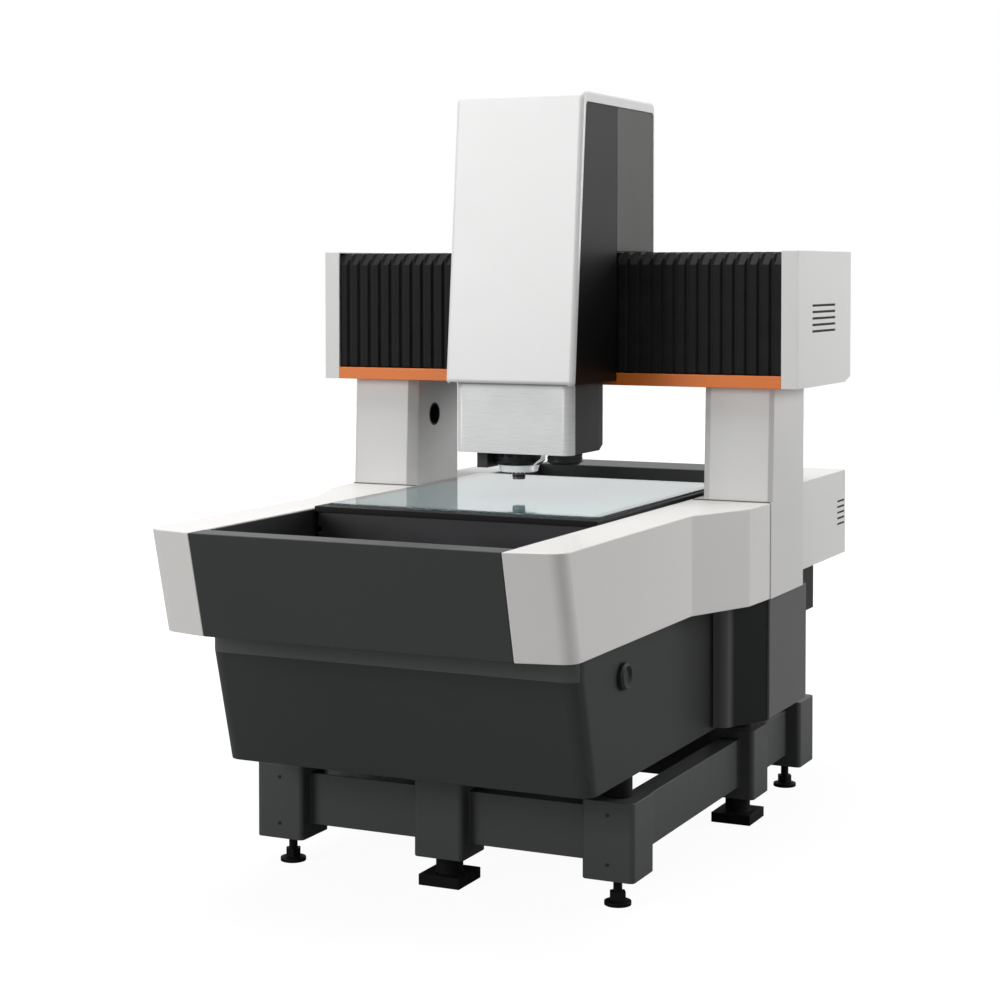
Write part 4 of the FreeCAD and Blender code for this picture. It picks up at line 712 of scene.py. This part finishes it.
def make_wipers():
    work = bmesh.new()
    top_of_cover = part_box("bellows_right")[1].z
    for side in ("left", "right"):
        low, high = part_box("head_rear_" + side)
        middle = (low.x + high.x) / 2
        add_block(work, (middle - WIPER_WIDE / 2, low.y + 0.0005, top_of_cover + WIPER_FREE),
                  (middle + WIPER_WIDE / 2, high.y - 0.0005, low.z))
    add_piece("head_wipers", work, seal_rubber, "carriage")


make_wipers()

# %% [markdown]
# The tub's inner walls are straight while its front corners are round and lean back, so the wall has a
# small gap at their foot. A curved sheet behind the wall closes each of the two corners.

# %% Corner sheets of the tub
CORNER = {"round": 0.036, "foot": 0.286, "floor": 0.292, "front_low": -0.7315, "break": 0.540, "tall": 0.040}
CORNER_OUTSIDE, CORNER_INSIDE = 0.0007, 0.0040


def make_corner_sheets():
    low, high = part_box("lower_body")
    rake = (low.y - CORNER["front_low"]) / (CORNER["break"] - CORNER["foot"])
    stretch = math.hypot(1.0, rake)
    foot = CORNER["floor"] + 0.0001
    front = CORNER["front_low"] + rake * (foot - CORNER["foot"])
    work = bmesh.new()
    for sign in (-1, 1):
        line = []
        for sunk, turns in ((CORNER_OUTSIDE, range(28, 69, 4)), (CORNER_INSIDE, range(68, 27, -4))):
            for turn in turns:
                radius = CORNER["round"] - sunk
                x = high.x - CORNER["round"] + radius * math.sin(math.radians(turn))
                y = front + stretch * (CORNER["round"] - radius * math.cos(math.radians(turn)))
                line.append(work.verts.new((sign * x, y, foot)))
        grown = bmesh.ops.extrude_face_region(work, geom=[work.faces.new(line)], use_keep_orig=True)["geom"]
        raised = [item for item in grown if isinstance(item, bmesh.types.BMVert)]
        bmesh.ops.translate(work, verts=raised, vec=(0, rake * CORNER["tall"], CORNER["tall"]))
    add_piece("corner_sheets", work, tub_paint, "machine")
    print("corner sheets from", round(foot, 4), "to", round(foot + CORNER["tall"], 4))


make_corner_sheets()

# %% [markdown]
# Each column has a round recess in its inner side, and a black cup in it is painted shade for the dark inside.
# The two front posts of the stand have two socket screws each, and turned profiles make both.

# %% Socket shade cups and post screws
COLUMN_INNER = 0.392
SOCKET = {"radius": 0.0298, "bore": 0.0255, "deep": 0.0585, "y": 0.1975, "z": 1.009}
POST_SCREWS = [(x, z) for x in (-0.411, 0.411) for z in (0.102, 0.210)]
POST_SCREW_RADIUS, POST_SCREW_TALL = 0.0040, 0.002


def add_socket_screw(work, place, radius, tall):
    """A cap screw: knurled head with a rounded rim and a socket."""
    add_turned(work, [(0, 0), (radius, 0), (radius, tall * 0.8), (radius * 0.88, tall), (radius * 0.5, tall),
                      (radius * 0.5, tall * 0.35), (0, tall * 0.35)], place, steps=20)


def make_shade_cups_and_screws():
    shade_cups = bmesh.new()
    for sign in (-1, 1):
        inner = sign * COLUMN_INNER
        radius, bore, deep = SOCKET["radius"], SOCKET["bore"], SOCKET["deep"]
        # a black cup in the recess as painted shade for the dark inside
        profile = [(0, 0), (radius, 0), (radius, deep - 0.0008), (radius - 0.001, deep), (bore + 0.001, deep),
                   (bore, deep - 0.001), (bore, 0.002), (0, 0.002)]
        foot = inner + sign * deep
        add_turned(shade_cups, profile, seat((foot, SOCKET["y"], SOCKET["z"]), (-sign, 0, 0)), steps=40)
    add_piece("socket_liners", shade_cups, black_plastic, "machine")
    screws = bmesh.new()
    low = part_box("stand_front")[0]
    for x, z in POST_SCREWS:
        add_socket_screw(screws, seat((x, low.y, z), (0, -1, 0)), POST_SCREW_RADIUS, POST_SCREW_TALL)
    add_piece("post_screws", screws, blackened_steel, "machine")
    print("screws on the front posts:", len(POST_SCREWS), "front face at", round(low.y, 4))


make_shade_cups_and_screws()

# %% [markdown]
# Under the head hang the turret, the ring light with its bent bracket, the objective and the distance
# sensor. Plain cylinders would look unfinished this close to the eye of the picture, so they get grip
# ridges, clamp screws, a row of small lamps and a stepped nose.

# %% Optics details
TURRET_RADIUS, GRIP_RIDGES = 0.063, 60
LAMP_CIRCLE, LAMPS = 0.040, 24


def make_turret_details():
    low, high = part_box("optics_turret")
    ring_low, ring_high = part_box("ring_light")
    axis = Vector(((ring_low.x + ring_high.x) / 2, (ring_low.y + ring_high.y) / 2, 0))
    work = bmesh.new()
    for count in range(4):
        turn = math.radians(-128 + 21 * count)
        outward = Vector((math.cos(turn), math.sin(turn), 0))
        point = axis + outward * (TURRET_RADIUS - 0.0004) + Vector((0, 0, high.z - 0.012))
        add_socket_screw(work, seat(point, outward), 0.0066, 0.0035)
    for count in range(GRIP_RIDGES):
        turn = math.radians(360 / GRIP_RIDGES * count)
        outward = Vector((math.cos(turn), math.sin(turn), 0))
        place = Matrix.Translation(axis + outward * TURRET_RADIUS) @ Matrix.Rotation(turn, 4, "Z")
        before = set(work.verts)
        add_block(work, (-0.001, -0.0012, low.z + 0.0145), (0.0009, 0.0012, high.z - 0.0215))
        bmesh.ops.transform(work, matrix=place, verts=[vert for vert in work.verts if vert not in before])
    add_piece("turret_grip", work, black_plastic, "optics")
    return axis


def make_ring_details(axis):
    low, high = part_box("ring_light")
    case_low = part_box("optics_case")[0]
    right = high.x
    line = [(right - 0.003, low.z + 0.003), (right + 0.003, low.z + 0.005), (right + 0.003, low.z + 0.019),
            (right + 0.021, low.z + 0.032), (right + 0.023, low.z + 0.041), (right + 0.035, low.z + 0.043),
            (right + 0.036, case_low.z)]
    sheet = bmesh.new()
    add_bent_sheet(sheet, line, 0.0032, (axis.y - 0.026, axis.y - 0.004))
    add_piece("ring_bracket", sheet, ring_plastic, "optics")
    lamps = bmesh.new()
    for count in range(LAMPS):
        turn = math.radians(360 / LAMPS * count)
        outward = Vector((math.cos(turn), math.sin(turn), 0))
        point = axis + outward * LAMP_CIRCLE + Vector((0, 0, low.z + 0.0004))
        add_turned(lamps, [(0, 0), (0.0022, 0), (0.0022, 0.001), (0.0015, 0.0022), (0, 0.0028)],
                   seat(point, (0, 0, -1)), steps=10)
    add_piece("ring_lamps", lamps, lamp_lens, "optics")
    nose = bmesh.new()
    lens_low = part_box("objective")[0]
    add_turned(nose, [(0.0095, 0.0), (0.0155, 0.0), (0.0162, 0.001), (0.0162, 0.004), (0.0155, 0.005),
                      (0.0095, 0.005), (0.0095, 0.0)],
               seat((axis.x, axis.y, lens_low.z + 0.006), (0, 0, 1)), steps=36)
    add_piece("lens_ring", nose, black_plastic, "optics")
    print("bracket from the ring at x", round(right, 4))


def make_sensor_details():
    low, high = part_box("distance_sensor")
    x, y = (low.x + high.x) / 2, (low.y + high.y) / 2
    radius = (high.x - low.x) / 2
    work = bmesh.new()
    for count in range(3):
        z = low.z + 0.006 + 0.008 * count
        add_turned(work, [(radius - 0.002, 0), (radius + 0.0012, 0.0006), (radius + 0.0012, 0.0024),
                          (radius - 0.002, 0.003), (radius - 0.002, 0)], seat((x, y, z), (0, 0, 1)), steps=48)
    add_piece("sensor_ridges", work, blackened_steel, "optics")


turret_axis = make_turret_details()
make_ring_details(turret_axis)
make_sensor_details()

# %% [markdown]
# Each pleated cover is one long zigzag. A chain of vertices is the cover's section: up the front, over
# the bevel and back along the top. Extruding that chain again and again, each time a little further
# along and in or out, folds the pleats, and the same loop makes both covers.

# %% Pleated covers
RIDGE, SLOPE = 0.50, 0.18
FOLD_STEPS = [(0.5 - RIDGE / 2, 0.0), (0.5 + RIDGE / 2, 0.0), (0.5 + RIDGE / 2 + SLOPE, 1.0),
              (1.5 - RIDGE / 2 - SLOPE, 1.0)]
VALLEY_BEVEL = 0.3
PLEAT_DEPTH, COVER_BEVEL, CLOTH_THICK = 0.006, 0.030, 0.0015


def cover_section(low, high, depth, bevel):
    """Points (y, z) of the cover's section: up the front, over the bevel and back along the top."""
    inside = 0.0004
    front, top = low.y + inside + depth, high.z - inside - depth
    return [(front, low.z), (front, top - bevel), (front + bevel, top), (high.y, top)]


def pleated_cover(node, pleats, pleat_depth, bevel):
    low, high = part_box(node)
    pitch = (high.x - low.x) / pleats
    ridge = cover_section(low, high, 0.0, bevel)
    valley = cover_section(low, high, pleat_depth, bevel * VALLEY_BEVEL)
    work = bmesh.new()
    verts = [work.verts.new((low.x, y, z)) for y, z in valley]
    edges = [work.edges.new(pair) for pair in zip(verts, verts[1:])]
    for step in range(pleats):
        for share, fold in FOLD_STEPS:
            x = min(low.x + pitch * (step + share), high.x)
            grown = bmesh.ops.extrude_edge_only(work, edges=edges)["geom"]
            edges = [item for item in grown if isinstance(item, bmesh.types.BMEdge)]
            fresh = [item for item in grown if isinstance(item, bmesh.types.BMVert)]
            for vert, (y, z) in zip(order_along(fresh), valley if fold else ridge):
                vert.co = (x, y, z)
    bmesh.ops.remove_doubles(work, verts=work.verts, dist=WELD_GAP)
    return work


def order_along(verts):
    """Section vertices from the foot of the front to the back of the top."""
    return sorted(verts, key=lambda vert: (round(vert.co.z, 5) + 1.2 * round(vert.co.y, 5)))


def make_covers():
    for node, pleats in (("bellows_left", 18), ("bellows_right", 17)):
        cover = add_piece("pleated_" + node, pleated_cover(node, pleats, PLEAT_DEPTH, COVER_BEVEL),
                          coated_cloth, None, smooth=12.0)
        skin = cover.modifiers.new("cloth", "SOLIDIFY")
        skin.thickness = CLOTH_THICK
        skin.offset = 0.0
        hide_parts(node)
        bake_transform(cover)
        print(cover.name, "faces:", len(cover.data.polygons))


make_covers()

# %% [markdown]
# The photograph is taken from the right and a little above the table. The camera looks down by less
# than two degrees and the rest of the framing is lens shift, which keeps the columns upright.

# %% Camera
CAMERA_PLACE = (2.1501, -4.7774, 1.3840)
CAMERA_YAW = math.radians(25.309)
CAMERA_TILT = math.radians(1.861)
camera_data = bpy.data.cameras.new("camera")
camera_data.lens = 76.65
camera_data.sensor_width = 36.0
camera_data.shift_y = -0.16
camera = bpy.data.objects.new("camera", camera_data)
camera.location = CAMERA_PLACE
camera.rotation_euler = (math.pi / 2 - CAMERA_TILT, 0.0, CAMERA_YAW)
bpy.context.scene.collection.objects.link(camera)
bpy.context.scene.camera = camera

# %% [markdown]
# A pale floor and three large soft lamps light the machine as in a studio. The lamps stay low enough
# that white paint renders as it is written, and the white surround comes from Light Path, so that it
# puts no extra light on the object.

# %% Floor, world and lamps
FLOOR_GREY, FLOOR_GLOW = 0.46, 1.16
FLOOR_FADE = (("From Min", 0.9), ("From Max", 2.4), ("To Min", 0.82), ("To Max", 1.0))


def pale_floor():
    work = bmesh.new()
    bmesh.ops.create_grid(work, x_segments=1, y_segments=1, size=14.0)
    mesh = bpy.data.meshes.new("floor")
    work.to_mesh(mesh)
    work.free()
    floor = bpy.data.objects.new("floor", mesh)
    bpy.context.scene.collection.objects.link(floor)
    material, tree, shader = new_finish("floor", 0.8, shine=0.0)
    shader.inputs["Base Color"].default_value = (FLOOR_GREY, FLOOR_GREY, FLOOR_GREY, 1)
    glow = add_node(tree, "ShaderNodeEmission")
    glow.inputs["Strength"].default_value = FLOOR_GLOW
    where = add_node(tree, "ShaderNodeTexCoord").outputs["Object"]
    reach = add_node(tree, "ShaderNodeVectorMath", operation="LENGTH")
    tree.links.new(where, reach.inputs[0])
    fade = add_node(tree, "ShaderNodeMapRange", interpolation_type="SMOOTHSTEP")
    tree.links.new(reach.outputs["Value"], fade.inputs["Value"])
    for key, value in FLOOR_FADE:
        fade.inputs[key].default_value = value
    seen = add_node(tree, "ShaderNodeLightPath")
    blend = add_node(tree, "ShaderNodeMixShader")
    direct = math_node(tree, "MAXIMUM", seen.outputs["Is Camera Ray"], seen.outputs["Is Transmission Ray"])
    share = math_node(tree, "MULTIPLY", direct, fade.outputs["Result"])
    tree.links.new(share, blend.inputs["Fac"])
    tree.links.new(shader.outputs["BSDF"], blend.inputs[1])
    tree.links.new(glow.outputs["Emission"], blend.inputs[2])
    tree.links.new(blend.outputs["Shader"], tree.nodes["Material Output"].inputs["Surface"])
    mesh.materials.append(material)


def white_surround(strength):
    world = bpy.data.worlds.new("surround")
    bpy.context.scene.world = world
    world.use_nodes = True
    tree = world.node_tree
    back = tree.nodes["Background"]
    back.inputs["Color"].default_value = (1, 1, 1, 1)
    seen = add_node(tree, "ShaderNodeLightPath")
    direct = math_node(tree, "MAXIMUM", seen.outputs["Is Camera Ray"], seen.outputs["Is Transmission Ray"])
    direct = math_node(tree, "MAXIMUM", direct, seen.outputs["Is Glossy Ray"])
    level = add_node(tree, "ShaderNodeMapRange")
    level.inputs["To Min"].default_value = strength
    level.inputs["To Max"].default_value = 1.0
    tree.links.new(direct, level.inputs["Value"])
    tree.links.new(level.outputs["Result"], back.inputs["Strength"])


def soft_lamp(name, place, aim, size, power):
    data = bpy.data.lights.new(name, "AREA")
    data.shape = "DISK"
    data.size = size
    data.energy = power
    lamp = bpy.data.objects.new(name, data)
    lamp.location = place
    lamp.rotation_euler = (Vector(aim) - Vector(place)).to_track_quat("-Z", "Y").to_euler()
    bpy.context.scene.collection.objects.link(lamp)


pale_floor()
white_surround(0.26)
soft_lamp("overhead", (-0.3, -0.3, 4.8), (0, 0, 0.8), 3.2, 150)
soft_lamp("front_left", (-6.5, -10.5, 4.5), (0, -0.2, 1.0), 6.0, 650)
soft_lamp("right_rear", (4.4, 3.0, 2.2), (0.3, 0.2, 0.9), 2.2, 115)

scene = bpy.context.scene
scene.view_settings.view_transform = "Standard"
